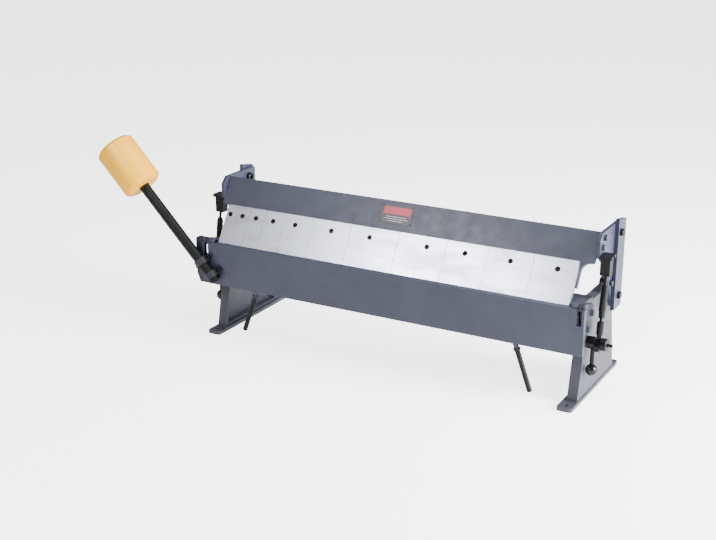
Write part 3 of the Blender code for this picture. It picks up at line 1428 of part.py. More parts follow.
def build():
    """Model every body on its joint's axis and set the machine on its footprint."""
    for item in list(bpy.data.objects):
        bpy.data.objects.remove(item, do_unlink=True)
    machine = empty_at('machine_origin', (0, 0, 0))
    axes = {
        'apron_swing': BEND_LINE,
        'beam_lift': Vector((0, PIVOT_Y, PIVOT_Z)),
    }
    for side in (-1, 1):
        axes['clamp_lever_' + side_name(side)] = Vector((side * LEVER_X, SHAFT_Y, SHAFT_Z))
        axes['link_pivot_' + side_name(side)] = Vector((side * LINK_X, SHAFT_Y, EYE_Z))
    holders = {name: empty_at(name + '_axis', point, machine) for name, point in axes.items()}
    hang(fixed_pieces(), machine)
    hang(apron_pieces(), holders['apron_swing'])
    hang(beam_pieces(), holders['beam_lift'])
    for side in (-1, 1):
        hang(clamp_pieces(side), holders['clamp_lever_' + side_name(side)])
        hang(link_pieces(side), holders['link_pivot_' + side_name(side)])
    bpy.context.view_layer.update()
    machine.location = footprint_shift()
    bpy.context.view_layer.update()
    for name, holder in holders.items():
        place = holder.matrix_world.translation
        print(f'{name}: {place.x:.5f} {place.y:.5f} {place.z:.5f}')


build()
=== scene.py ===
"""A hand sheet metal brake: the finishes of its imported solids, and its fasteners and fittings."""
import json
from math import cos, pi, radians, sin, sqrt

import bmesh
import bpy
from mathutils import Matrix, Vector


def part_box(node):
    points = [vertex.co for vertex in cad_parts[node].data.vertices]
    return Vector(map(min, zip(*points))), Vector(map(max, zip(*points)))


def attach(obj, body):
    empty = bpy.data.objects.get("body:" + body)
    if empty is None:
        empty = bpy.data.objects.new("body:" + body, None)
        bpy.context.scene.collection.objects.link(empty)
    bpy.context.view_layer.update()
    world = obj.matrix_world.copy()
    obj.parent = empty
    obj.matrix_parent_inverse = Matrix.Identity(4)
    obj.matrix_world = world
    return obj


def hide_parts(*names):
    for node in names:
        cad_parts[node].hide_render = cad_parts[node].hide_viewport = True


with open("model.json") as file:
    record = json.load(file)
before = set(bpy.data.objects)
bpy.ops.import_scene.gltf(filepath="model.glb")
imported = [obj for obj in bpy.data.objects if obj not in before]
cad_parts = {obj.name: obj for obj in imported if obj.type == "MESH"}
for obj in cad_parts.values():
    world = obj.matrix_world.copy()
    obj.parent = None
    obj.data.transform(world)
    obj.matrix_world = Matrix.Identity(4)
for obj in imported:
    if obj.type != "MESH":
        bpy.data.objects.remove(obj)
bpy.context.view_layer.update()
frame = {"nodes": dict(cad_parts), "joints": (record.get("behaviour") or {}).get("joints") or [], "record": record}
NODES = frame["nodes"]
JOINTS = {joint["name"]: joint for joint in frame["joints"]}
BODY_OF = {
    node: body
    for body, members in frame["record"]["behaviour"]["bodies"].items()
    for node in members
}
SLOT_OF = {part["node"]: part["material_slot"] for part in frame["record"]["subparts"]}

# Sizes, in metres. The bend line is the machine's own zero across and front to back
MM = 0.001
BEND_LINE = Vector(JOINTS["apron_swing"]["pos_m"])
FACE_ANGLE = radians(59.0)
NOSE_BACK_MM = 1.2
NOSE_UP_MM = 318.3
UP_THE_FACE = Vector((0, cos(FACE_ANGLE), sin(FACE_ANGLE)))
BEHIND_THE_FACE = Vector((0, sin(FACE_ANGLE), -cos(FACE_ANGLE)))
RIGHT = Vector((1, 0, 0))
FRONT = Vector((0, -1, 0))
SIDES = {"left": -1, "right": 1}
DOWN = Vector((0, 0, -1))
HANDLE_LEAN = radians(20.0)
ROD_LEAN = radians(44.0)
ROD_WAY = Vector((-sin(ROD_LEAN), 0, cos(ROD_LEAN)))
# The counterweight rod's foot across, back and up, in millimetres
ROD_FOOT_MM = (-602.0, -34.3, 194.7)

# The photograph's camera, measured from the bend line's middle on the bench
CAMERA_OFFSET = Vector((1731, -3222, 1576)) * MM
CAMERA_TURN = radians(29.34)
CAMERA_FALL = radians(18.9)
PICTURE_WIDTH_PX = 716
FOCAL_LENGTH_PX = 1256
SENSOR_WIDTH = 36.0
FAR_ENOUGH = 50.0

# Light, where the room is bright to the camera and dim to the machine
FLOOR_GLOW = 3.0
FLOOR_HALF = 14.0
ROOM_LIGHT = 0.32
ROOM_SEEN = 4.0
LIT_HEIGHT_MM = 330
# Each lamp's place in millimetres, its size in metres and its power. The last one stands where
# the blade mirrors it to the camera
LAMPS = {
    "top_light": ((300, 300, 3200), 2.4, 55),
    "right_light": ((3600, 300, 1500), 1.8, 560),
    "blade_light": ((-1050, -2200, 2150), 0.75, 52),
}

# Shading breaks where faces meet at more than this, in degrees
SOFT_EDGE = 34
SCREW_SOFT_EDGE = 28
TURNED_SOFT_EDGE = 30
KNOB_SOFT_EDGE = 50


def at(across, back, up):
    """A point given in millimetres from the bend line's middle on the bench."""
    return Vector((BEND_LINE.x, BEND_LINE.y, 0)) + Vector((across, back, up)) * MM


def on_the_face(across, up, behind):
    """A point in millimetres along the blade, up its slanted face and behind that face."""
    nose = at(across, NOSE_BACK_MM, NOSE_UP_MM)
    return nose + (UP_THE_FACE * up + BEHIND_THE_FACE * behind) * MM


def linear(hex_colour):
    """An sRGB hex colour as linear light, with alpha."""
    channels = []
    for start in (0, 2, 4):
        value = int(hex_colour[start:start + 2], 16) / 255
        channels.append(value / 12.92 if value <= 0.04045 else ((value + 0.055) / 1.055) ** 2.4)
    return (*channels, 1.0)


# Camera
def make_camera():
    """The photograph's view."""
    lens = bpy.data.cameras.new("photo_camera")
    lens.sensor_fit = "HORIZONTAL"
    lens.sensor_width = SENSOR_WIDTH
    lens.lens = FOCAL_LENGTH_PX / PICTURE_WIDTH_PX * SENSOR_WIDTH
    lens.clip_end = FAR_ENOUGH
    camera = bpy.data.objects.new("photo_camera", lens)
    bpy.context.scene.collection.objects.link(camera)
    camera.location = at(0, 0, 0) + CAMERA_OFFSET
    camera.rotation_euler = (pi / 2 - CAMERA_FALL, 0, CAMERA_TURN)
    bpy.context.scene.camera = camera


make_camera()


# Finishes
def join(tree, node, links):
    """Give a node's inputs their values, hex colours and links."""
    for socket, source in links.items():
        if isinstance(source, bpy.types.NodeSocket):
            tree.links.new(source, node.inputs[socket])
        else:
            colour = node.inputs[socket].type == "RGBA" and isinstance(source, str)
            node.inputs[socket].default_value = linear(source) if colour else source


def add(tree, kind, links=None, **settings):
    """Add a node with its settings and links."""
    node = tree.nodes.new(kind)
    for name, value in settings.items():
        setattr(node, name, value)
    join(tree, node, links or {})
    return node


def new_finish(name):
    """A new material, its node tree, its surface shader and the object's own coordinates."""
    material = bpy.data.materials.new(name)
    material.use_nodes = True
    tree = material.node_tree
    place = add(tree, "ShaderNodeTexCoord").outputs["Object"]
    return material, tree, tree.nodes["Principled BSDF"], place


def enamel(name, colour, shade, grain_mm, grain_depth_mm, gloss):
    """Sprayed alkyd enamel over primed steel or iron.

    It is even and satin, with orange peel at the grain's size, and on a casting the sand's
    coarser grain shows through it. Handling leaves faint paler scuffs and clouds of dust."""
    cloud_mm, scuff_mm, sheen_mm, wave_mm, wave_depth_mm = 160, 9, 35, 40, 0.12
    material, tree, shader, place = new_finish(name)
    clouds = add(tree, "ShaderNodeTexNoise", {
        "Vector": place, "Scale": 1 / (cloud_mm * MM), "Detail": 3.0,
    })
    cloud_share = add(tree, "ShaderNodeMapRange", {
        "Value": clouds.outputs["Fac"], "From Min": 0.3, "From Max": 0.7,
    })
    tone = add(tree, "ShaderNodeMix", {
        0: cloud_share.outputs["Result"], 6: colour, 7: shade,
    }, data_type="RGBA")
    scuffs = add(tree, "ShaderNodeTexNoise", {
        "Vector": place, "Scale": 1 / (scuff_mm * MM), "Detail": 4.0, "Roughness": 0.7,
    })
    scuff_share = add(tree, "ShaderNodeMapRange", {
        "Value": scuffs.outputs["Fac"], "From Min": 0.62, "From Max": 0.85, "To Max": 0.10,
    })
    scuffed = add(tree, "ShaderNodeMix", {
        0: scuff_share.outputs["Result"], 6: tone.outputs[2], 7: "9A9DA8",
    }, data_type="RGBA")
    sheen = add(tree, "ShaderNodeTexNoise", {
        "Vector": place, "Scale": 1 / (sheen_mm * MM), "Detail": 3.0,
    })
    sheen_range = add(tree, "ShaderNodeMapRange", {
        "Value": sheen.outputs["Fac"], "From Min": 0.3, "From Max": 0.7,
        "To Min": gloss - 0.05, "To Max": gloss + 0.07,
    })
    grain = add(tree, "ShaderNodeTexNoise", {
        "Vector": place, "Scale": 1 / (grain_mm * MM), "Detail": 2.0,
    })
    peel = add(tree, "ShaderNodeBump", {
        "Height": grain.outputs["Fac"], "Distance": grain_depth_mm * MM,
    })
    # Plate and castings are never quite flat
    waves = add(tree, "ShaderNodeTexNoise", {
        "Vector": place, "Scale": 1 / (wave_mm * MM), "Detail": 1.0,
    })
    wavy = add(tree, "ShaderNodeBump", {
        "Height": waves.outputs["Fac"], "Distance": wave_depth_mm * MM,
        "Normal": peel.outputs["Normal"],
    })
    join(tree, shader, {
        "Base Color": scuffed.outputs[2], "Roughness": sheen_range.outputs["Result"],
        "Normal": wavy.outputs["Normal"], "Coat Weight": 0.12, "Coat Roughness": 0.25,
    })
    return material


def ground_steel(name, colour, shade, stain):
    """Surface-ground tool steel, bare.

    It is bright, with grinding lines along the blade and a few dull stains of old oil."""
    # Real grinding lines are 0.05 mm apart, and they are drawn 1.2 mm apart so that they show
    line_mm, line_depth_mm, stain_mm = 1.2, 0.02, 45
    line_stretch, stain_stretch = (0.012, 1, 1), (0.3, 1, 1)
    material, tree, shader, place = new_finish(name)
    along = add(tree, "ShaderNodeMapping", {"Vector": place, "Scale": line_stretch})
    lines = add(tree, "ShaderNodeTexNoise", {
        "Vector": along.outputs["Vector"], "Scale": 1 / (line_mm * MM), "Detail": 3.0,
        "Roughness": 0.6,
    })
    line_share = add(tree, "ShaderNodeMapRange", {
        "Value": lines.outputs["Fac"], "From Min": 0.25, "From Max": 0.75,
    })
    tone = add(tree, "ShaderNodeMix", {
        0: line_share.outputs["Result"], 6: colour, 7: shade,
    }, data_type="RGBA")
    wide = add(tree, "ShaderNodeMapping", {"Vector": place, "Scale": stain_stretch})
    stains = add(tree, "ShaderNodeTexNoise", {
        "Vector": wide.outputs["Vector"], "Scale": 1 / (stain_mm * MM), "Detail": 4.0,
        "Roughness": 0.6,
    })
    stain_share = add(tree, "ShaderNodeMapRange", {
        "Value": stains.outputs["Fac"], "From Min": 0.52, "From Max": 0.75, "To Max": 0.35,
    })
    stained = add(tree, "ShaderNodeMix", {
        0: stain_share.outputs["Result"], 6: tone.outputs[2], 7: stain,
    }, data_type="RGBA")
    dulled = add(tree, "ShaderNodeMapRange", {
        "Value": stains.outputs["Fac"], "From Min": 0.3, "From Max": 0.7,
        "To Min": 0.27, "To Max": 0.38,
    })
    scored = add(tree, "ShaderNodeBump", {
        "Height": lines.outputs["Fac"], "Distance": line_depth_mm * MM,
    })
    join(tree, shader, {
        "Base Color": stained.outputs[2], "Roughness": dulled.outputs["Result"],
        "Normal": scored.outputs["Normal"], "Metallic": 1.0,
    })
    return material


def turned_metal(name, colour, shade, gloss, metallic):
    """Turned or drawn metal, bare or chemically blackened.

    It shows fine lines round the piece, and patches where oil has darkened it."""
    # Real feed lines are 0.1 mm apart, and they are drawn 0.9 mm apart so that they show
    line_mm, line_depth_mm, patch_mm = 0.9, 0.015, 22
    material, tree, shader, place = new_finish(name)
    lines = add(tree, "ShaderNodeTexNoise", {
        "Vector": place, "Scale": 1 / (line_mm * MM), "Detail": 2.0,
    })
    patches = add(tree, "ShaderNodeTexNoise", {
        "Vector": place, "Scale": 1 / (patch_mm * MM), "Detail": 4.0, "Roughness": 0.65,
    })
    patch_share = add(tree, "ShaderNodeMapRange", {
        "Value": patches.outputs["Fac"], "From Min": 0.35, "From Max": 0.7,
    })
    tone = add(tree, "ShaderNodeMix", {
        0: patch_share.outputs["Result"], 6: colour, 7: shade,
    }, data_type="RGBA")
    oily = add(tree, "ShaderNodeMapRange", {
        "Value": patches.outputs["Fac"], "From Min": 0.3, "From Max": 0.7,
        "To Min": gloss - 0.06, "To Max": gloss + 0.1,
    })
    scored = add(tree, "ShaderNodeBump", {
        "Height": lines.outputs["Fac"], "Distance": line_depth_mm * MM,
    })
    join(tree, shader, {
        "Base Color": tone.outputs[2], "Roughness": oily.outputs["Result"],
        "Normal": scored.outputs["Normal"], "Metallic": metallic,
    })
    return material


def moulded_phenolic(name):
    """Compression-moulded phenolic: hard, black and glossy, with faint flow marks."""
    flow_mm, ripple_mm, ripple_depth_mm = 14, 3, 0.01
    material, tree, shader, place = new_finish(name)
    flow = add(tree, "ShaderNodeTexNoise", {
        "Vector": place, "Scale": 1 / (flow_mm * MM), "Detail": 3.0, "Distortion": 0.6,
    })
    tone = add(tree, "ShaderNodeMix", {
        0: flow.outputs["Fac"], 6: "060608", 7: "121217",
    }, data_type="RGBA")
    polish = add(tree, "ShaderNodeMapRange", {
        "Value": flow.outputs["Fac"], "From Min": 0.3, "From Max": 0.7,
        "To Min": 0.16, "To Max": 0.30,
    })
    ripple = add(tree, "ShaderNodeTexNoise", {
        "Vector": place, "Scale": 1 / (ripple_mm * MM), "Detail": 2.0,
    })
    skin = add(tree, "ShaderNodeBump", {
        "Height": ripple.outputs["Fac"], "Distance": ripple_depth_mm * MM,
    })
    join(tree, shader, {
        "Base Color": tone.outputs[2], "Roughness": polish.outputs["Result"],
        "Normal": skin.outputs["Normal"],
    })
    return material


def printed_plate(name, colour, shade):
    """Screen-printed aluminium sheet: flat ink, with the sheet's fine rolled grain under it."""
    grain_mm, grain_depth_mm, grain_stretch = 1.5, 0.01, (0.1, 1, 1)
    material, tree, shader, place = new_finish(name)
    along = add(tree, "ShaderNodeMapping", {"Vector": place, "Scale": grain_stretch})
    grain = add(tree, "ShaderNodeTexNoise", {
        "Vector": along.outputs["Vector"], "Scale": 1 / (grain_mm * MM), "Detail": 2.0,
    })
    ink = add(tree, "ShaderNodeMix", {
        0: grain.outputs["Fac"], 6: colour, 7: shade,
    }, data_type="RGBA")
    polish = add(tree, "ShaderNodeMapRange", {
        "Value": grain.outputs["Fac"], "To Min": 0.28, "To Max": 0.42,
    })
    skin = add(tree, "ShaderNodeBump", {
        "Height": grain.outputs["Fac"], "Distance": grain_depth_mm * MM,
    })
    join(tree, shader, {
        "Base Color": ink.outputs[2], "Roughness": polish.outputs["Result"],
        "Normal": skin.outputs["Normal"],
    })
    return material


# The finishes by the record's slots, then those of the name plate's print
FINISHES = {
    "grey_casting": enamel("enamel_on_casting", "393B46", "42444F", 2.6, 0.16, 0.44),
    "grey_plate": enamel("enamel_on_plate", "2C3043", "34384D", 1.8, 0.05, 0.42),
    # Painted shade: the dark_plate slot's near-black enamel stands for grey-blue painted steel lying in shadow
    "dark_plate": enamel("enamel_painted_shade", "14151D", "1C1E27", 1.8, 0.05, 0.45),
    "yellow_paint": enamel("yellow_enamel", "FFB300", "FFBA00", 1.8, 0.05, 0.46),
    "bright_steel": ground_steel("ground_tool_steel", "B9BBC8", "D0D2DE", "9FA1AE"),
    "turned_steel": turned_metal("turned_steel", "4C4B52", "34333A", 0.38, 1.0),
    "black_steel": turned_metal("blackened_steel", "131217", "0B0B0F", 0.42, 0.5),
    "bronze": turned_metal("bearing_bronze", "8C6A36", "6B5230", 0.40, 1.0),
    "black_plastic": moulded_phenolic("moulded_phenolic"),
}
FINISHES["label"] = printed_plate("printed_plate_dark", "2B2833", "33303C")
RED_PRINT = printed_plate("printed_plate_red", "B4273C", "C03044")
PALE_PRINT = printed_plate("printed_plate_pale", "C9B9C0", "D6C9CE")


# Pieces
def keep(name, mesh, body, slot, smooth_degrees=SOFT_EDGE, finish=None):
    """Put a finished piece into the scene under its body, with the finish of its slot or the one given."""
    piece = bpy.data.objects.new(name, mesh)
    bpy.context.scene.collection.objects.link(piece)
    mesh.materials.clear()
    mesh.materials.append(finish or FINISHES[slot])
    mesh.shade_smooth()
    mesh.set_sharp_from_angle(angle=radians(smooth_degrees))
    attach(piece, body)
    return piece


def break_edges(piece, edge_mm):
    """Round a piece's sharp edges off, as its maker's file or blasting leaves them."""
    bevel = piece.modifiers.new("broken_edges", "BEVEL")
    bevel.width = edge_mm * MM
    bevel.segments = EDGE_STEPS
    bevel.limit_method = "ANGLE"
    bevel.angle_limit = radians(SOFT_EDGE)
    bevel.harden_normals = True


# Edge width, in millimetres, that each kind of solid has from its process, and that of the rest
EDGES = {
    "side_frame": 1.8, "bed_plate": 0.8, "bed_front_web": 0.8, "apron": 0.8, "upper_beam": 1.2,
    "finger": 0.25,
}
COMMON_EDGE = 0.5
EDGE_STEPS = 2
SEWN_WITHIN_MM = 0.02
FLAT_WITHIN = radians(0.5)


def dress_solids(left_out):
    """A copy of every solid that stays, with seams sewn, flat faces whole and edges broken."""
    for node, solid in NODES.items():
        if node in left_out:
            continue
        builder = bmesh.new()
        builder.from_mesh(solid.data)
        bmesh.ops.remove_doubles(builder, verts=builder.verts, dist=SEWN_WITHIN_MM * MM)
        bmesh.ops.dissolve_limit(
            builder, angle_limit=FLAT_WITHIN, verts=builder.verts, edges=builder.edges)
        mesh = bpy.data.meshes.new(node + "_finish")
        builder.to_mesh(mesh)
        builder.free()
        piece = keep(node + "_finish", mesh, BODY_OF[node], SLOT_OF[node])
        sizes = (size for start, size in EDGES.items() if node.startswith(start))
        edge_mm = next(sizes, COMMON_EDGE)
        if node.startswith("finger"):
            # Ground faces are dead flat right up to their edges
            mesh.shade_flat()
        break_edges(piece, edge_mm)
        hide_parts(node)


# Fasteners. A head's turned corners fall 30 degrees, so its cone widens 1.73 for 1 of height
CROWN_SLOPE = 1.73
CROWN_SIDES = 48
WASHER_SIDES = 36
NUT_BORE_SIDES = 24
ROUND_HEAD_SIDES = 36
RIVET_SIDES = 24
WASHER_MM = 1.6
KEY_DEPTH_MM = 5
HEXAGON_CROWN_SHARE = 0.93
RIVET_CROWN_SHARE = 0.55
SOCKET_HEAD_CHAMFER_MM = 0.7


def head_tree():
    """Geometry Nodes that stand one screw head on every point, along the point's own direction.

    The head is a prism whose top corners are turned off, with a washer, a socket or a bore."""
    tree = bpy.data.node_groups.new("screw_heads", "GeometryNodeTree")
    sockets = tree.interface
    sockets.new_socket("Geometry", in_out="INPUT", socket_type="NodeSocketGeometry")
    for name, kind in (
        ("Sides", "Int"), ("Width", "Float"), ("Height", "Float"), ("Crown Width", "Float"),
        ("Socket Sides", "Int"), ("Socket Width", "Float"), ("Socket Depth", "Float"),
        ("Washer Width", "Float"), ("Washer Thickness", "Float"), ("Seed", "Int"),
        ("Finish", "Material"),
    ):
        sockets.new_socket(name, in_out="INPUT", socket_type="NodeSocket" + kind)
    sockets.new_socket("Geometry", in_out="OUTPUT", socket_type="NodeSocketGeometry")
    given = add(tree, "NodeGroupInput").outputs
    half_width = add(tree, "ShaderNodeMath", {0: given["Width"], 1: 2.0}, operation="DIVIDE")
    prism = add(tree, "GeometryNodeMeshCylinder", {
        "Vertices": given["Sides"], "Radius": half_width.outputs[0], "Depth": given["Height"],
    })
    half_height = add(tree, "ShaderNodeMath", {0: given["Height"], 1: 2.0}, operation="DIVIDE")
    lift = add(tree, "ShaderNodeCombineXYZ", {"Z": half_height.outputs[0]})
    stood = add(tree, "GeometryNodeTransform", {
        "Geometry": prism.outputs["Mesh"], "Translation": lift.outputs[0],
    })
    crown = add(tree, "ShaderNodeMath", {0: given["Crown Width"], 1: 2.0}, operation="DIVIDE")
    foot = add(tree, "ShaderNodeMath", {
        0: given["Height"], 1: CROWN_SLOPE, 2: crown.outputs[0],
    }, operation="MULTIPLY_ADD")
    cone = add(tree, "GeometryNodeMeshCone", {
        "Vertices": CROWN_SIDES, "Radius Top": crown.outputs[0], "Radius Bottom": foot.outputs[0],
        "Depth": given["Height"],
    })
    head = add(tree, "GeometryNodeMeshBoolean", operation="INTERSECT", solver="EXACT")
    tree.links.new(stood.outputs["Geometry"], head.inputs["Mesh 2"])
    tree.links.new(cone.outputs["Mesh"], head.inputs["Mesh 2"])
    half_socket = add(tree, "ShaderNodeMath", {
        0: given["Socket Width"], 1: 2.0,
    }, operation="DIVIDE")
    deep = add(tree, "ShaderNodeMath", {0: given["Socket Depth"], 1: 2.0}, operation="MULTIPLY")
    tool = add(tree, "GeometryNodeMeshCylinder", {
        "Vertices": given["Socket Sides"], "Radius": half_socket.outputs[0],
        "Depth": deep.outputs[0],
    })
    top = add(tree, "ShaderNodeCombineXYZ", {"Z": given["Height"]})
    tool_place = add(tree, "GeometryNodeTransform", {
        "Geometry": tool.outputs["Mesh"], "Translation": top.outputs[0],
    })
    sunk = add(tree, "GeometryNodeMeshBoolean", {
        "Mesh 1": head.outputs["Mesh"],
    }, operation="DIFFERENCE", solver="EXACT")
    tree.links.new(tool_place.outputs["Geometry"], sunk.inputs["Mesh 2"])
    has_socket = add(tree, "FunctionNodeCompare", {0: given["Socket Width"], 1: 0.0},
                     data_type="FLOAT", operation="GREATER_THAN")
    made = add(tree, "GeometryNodeSwitch", {
        "Switch": has_socket.outputs[0], "False": head.outputs["Mesh"],
        "True": sunk.outputs["Mesh"],
    }, input_type="GEOMETRY")
    # A washer lies under the head, and the head stands on it
    half_washer = add(tree, "ShaderNodeMath", {
        0: given["Washer Width"], 1: 2.0,
    }, operation="DIVIDE")
    washer = add(tree, "GeometryNodeMeshCylinder", {
        "Vertices": WASHER_SIDES, "Radius": half_washer.outputs[0],
        "Depth": given["Washer Thickness"],
    })
    half_thickness = add(tree, "ShaderNodeMath", {
        0: given["Washer Thickness"], 1: 2.0,
    }, operation="DIVIDE")
    washer_lift = add(tree, "ShaderNodeCombineXYZ", {"Z": half_thickness.outputs[0]})
    washer_place = add(tree, "GeometryNodeTransform", {
        "Geometry": washer.outputs["Mesh"], "Translation": washer_lift.outputs[0],
    })
    head_lift = add(tree, "ShaderNodeCombineXYZ", {"Z": given["Washer Thickness"]})
    raised = add(tree, "GeometryNodeTransform", {
        "Geometry": made.outputs["Output"], "Translation": head_lift.outputs[0],
    })
    both = add(tree, "GeometryNodeJoinGeometry")
    tree.links.new(raised.outputs["Geometry"], both.inputs["Geometry"])
    tree.links.new(washer_place.outputs["Geometry"], both.inputs["Geometry"])
    has_washer = add(tree, "FunctionNodeCompare", {0: given["Washer Width"], 1: 0.0},
                     data_type="FLOAT", operation="GREATER_THAN")
    fastener = add(tree, "GeometryNodeSwitch", {
        "Switch": has_washer.outputs[0], "False": made.outputs["Output"],
        "True": both.outputs["Geometry"],
    }, input_type="GEOMETRY")
    # Each is screwed home to a turn of its own
    outwards = add(tree, "GeometryNodeInputNamedAttribute", {"Name": "outwards"},
                   data_type="FLOAT_VECTOR")
    upright = add(tree, "FunctionNodeAlignRotationToVector", {
        "Vector": outwards.outputs["Attribute"],
    }, axis="Z")
    turn = add(tree, "FunctionNodeRandomValue", {2: 0.0, 3: 2 * pi, "Seed": given["Seed"]},
               data_type="FLOAT")
    about = add(tree, "ShaderNodeCombineXYZ", {"Z": turn.outputs[1]})
    spin = add(tree, "FunctionNodeEulerToRotation", {"Euler": about.outputs[0]})
    facing = add(tree, "FunctionNodeRotateRotation", {
        "Rotation": upright.outputs["Rotation"], "Rotate By": spin.outputs["Rotation"],
    }, rotation_space="LOCAL")
    placed = add(tree, "GeometryNodeInstanceOnPoints", {
        "Points": given["Geometry"], "Instance": fastener.outputs["Output"],
        "Rotation": facing.outputs["Rotation"],
    })
    real = add(tree, "GeometryNodeRealizeInstances", {"Geometry": placed.outputs["Instances"]})
    coated = add(tree, "GeometryNodeSetMaterial", {
        "Geometry": real.outputs["Geometry"], "Material": given["Finish"],
    })
    add(tree, "NodeGroupOutput", {"Geometry": coated.outputs["Geometry"]})
    return tree


HEAD_TREE = head_tree()


def set_fasteners(name, body, slot, spots, sizes, seed):
    """One mesh of like fasteners on a body. A spot is a point and the way its head faces."""
    mesh = bpy.data.meshes.new(name)
    mesh.from_pydata([point for point, _ in spots], [], [])
    facing = mesh.attributes.new("outwards", "FLOAT_VECTOR", "POINT")
    for index, (_, direction) in enumerate(spots):
        facing.data[index].vector = direction
    points = bpy.data.objects.new(name + "_points", mesh)
    bpy.context.scene.collection.objects.link(points)
    stand = points.modifiers.new("screw_heads", "NODES")
    stand.node_group = HEAD_TREE
    values = dict(sizes, Seed=seed, Finish=FINISHES[slot])
    for socket in HEAD_TREE.interface.items_tree:
        if socket.in_out == "INPUT" and socket.name in values:
            stand[socket.identifier] = values[socket.name]
    graph = bpy.context.evaluated_depsgraph_get()
    made = bpy.data.meshes.new_from_object(points.evaluated_get(graph))
    bpy.data.objects.remove(points)
    made.name = name
    return keep(name, made, body, slot, SCREW_SOFT_EDGE)


def across_corners(flats):
    """A hexagon's width across its corners."""
    return flats * 2 / sqrt(3)


def head_sizes(sides, width, height, crown, key=0.0, key_sides=6, key_depth=1, washer=0.0):
    """A head's sizes in metres, under the names that the tree gives them, from millimetres."""
    return {
        "Sides": sides, "Width": width * MM, "Height": height * MM, "Crown Width": crown * MM,
        "Socket Sides": key_sides, "Socket Width": key * MM, "Socket Depth": key_depth * MM,
        "Washer Width": washer * MM, "Washer Thickness": WASHER_MM * MM,
    }


def hexagon_head(flats, height, washer=0.0):
    """A hexagon head, from its width across flats."""
    crown = flats * HEXAGON_CROWN_SHARE
    return head_sizes(6, across_corners(flats), height, crown, washer=washer)


def nut(flats, height, bore):
    """A hexagon nut, bored right through."""
    crown = flats * HEXAGON_CROWN_SHARE
    width = across_corners(flats)
    return head_sizes(6, width, height, crown, bore, NUT_BORE_SIDES, height + 1)


def socket_head(width, height, key):
    """A round head with a hexagon socket, from the key's width."""
    crown = width - 2 * SOCKET_HEAD_CHAMFER_MM
    return head_sizes(
        ROUND_HEAD_SIDES, width, height, crown, across_corners(key), key_depth=KEY_DEPTH_MM)


def rivet_head(width, height):
    """A small drive rivet."""
    return head_sizes(RIVET_SIDES, width, height, width * RIVET_CROWN_SHARE)


M10_SOCKET_HEAD = socket_head(15.4, 10, 8)


# Fasteners: depths and heights of those at both ends, and the face each kind stands on, as its
# distance from the machine's middle. All are in millimetres
BED_BOLTS = ((100.8, 277.0), (100.8, 231.6))
BRACKET_BOLTS = ((45.8, 240.0), (72.2, 282.0))
END_PLATE_BOLTS = ((121.1, 466.8), (136.5, 492.5))
UPRIGHT_BOLTS = ((245.1, 482.1), (259.0, 280.4))
BLOCK_SCREWS = ((118.0, 440.0),)
FRAME_FACE = 642.35
BRACKET_FACE = 654.65
END_PLATE_FACE = 660.05
UPRIGHT_FACE = 672.35
END_PLATE_INNER_FACE = 647.95
BLOCK_SEAT = 681.7
BRACKET_SCREW_SEAT = 678.0
BRACKET_SCREW_HEIGHTS = (215.5, 246.7)
LEAF_MIDDLE_DEPTH = -8.5
LEAF_FOOT_HEIGHT = 175.7
HANDLE_ACROSS = 455.1
HANDLE_NUT_OUT = 14.3
SADDLE_SEAT_DEPTH = -20.8
SADDLE_PLACES = (23.4, 78.8)
SADDLE_ARM = 30.3
SET_SCREW_PLACE = 455.0
SET_SCREW_SEAT_DEPTH = -16.5
# Widths of the fingers from the left, and each screw's place as a share of its finger's width
FINGER_WIDTHS = (40, 50, 60, 75, 110, 135, 170, 165, 135, 145, 135)
FINGER_SCREWS = (0.40, 0.48, 0.45, 0.453, 0.39, 0.504, 0.42, 0.61, 0.467, 0.517, 0.57)
FINGER_GAP = 0.8
FINGER_SCREW_HEIGHT = 100.0
FINGER_SCREW_SEAT = 8.5


def finger_screw_spots():
    """The seat of each finger's screw and the way out of the blade."""
    left = -sum(FINGER_WIDTHS) / 2
    spots = []
    for width, share in zip(FINGER_WIDTHS, FINGER_SCREWS):
        across = left + FINGER_GAP / 2 + (width - FINGER_GAP) * share
        seat = on_the_face(across, FINGER_SCREW_HEIGHT, FINGER_SCREW_SEAT)
        spots.append((seat, -BEHIND_THE_FACE))
        left += width
    return spots


def both_ends(across, places):
    """Spots at both ends of the machine, facing outwards, from depths and heights."""
    return [
        (at(side * across, *place), RIGHT * side)
        for side in SIDES.values() for place in places
    ]


def along_the_rod(distance, aside=0.0, depth=ROD_FOOT_MM[1]):
    """A point from the counterweight rod's foot: along the rod, aside of it and at a depth."""
    across = Vector((-ROD_WAY.z, 0, ROD_WAY.x))
    foot = at(ROD_FOOT_MM[0], depth, ROD_FOOT_MM[2])
    return foot + (ROD_WAY * distance + across * aside) * MM


def fit_end_fasteners():
    """The bolts, nuts and screws that both ends of the machine have."""
    frame_bolt = hexagon_head(16, 6.5, washer=24)
    for name, body, slot, face, places, sizes, seed in (
        ("bed_bolts", "frame", "grey_plate", FRAME_FACE, BED_BOLTS, frame_bolt, 1),
        ("hinge_bracket_bolts", "frame", "grey_plate", BRACKET_FACE, BRACKET_BOLTS, frame_bolt, 2),
        ("end_plate_bolts", "upper_beam", "grey_plate", END_PLATE_FACE, END_PLATE_BOLTS,
         hexagon_head(16, 6.5, washer=22), 3),
        ("upright_bolts", "upper_beam", "black_steel", UPRIGHT_FACE, UPRIGHT_BOLTS,
         hexagon_head(22, 9), 4),
    ):
        set_fasteners(name, body, slot, both_ends(face, places), sizes, seed)
    inwards = [(point, -way) for point, way in both_ends(END_PLATE_INNER_FACE, UPRIGHT_BOLTS)]
    set_fasteners("upright_nuts", "upper_beam", "black_steel", inwards, nut(27, 12, 14), 5)
    set_fasteners("link_block_screws", "upper_beam", "black_steel",
                  both_ends(BLOCK_SEAT, BLOCK_SCREWS), M10_SOCKET_HEAD, 6)


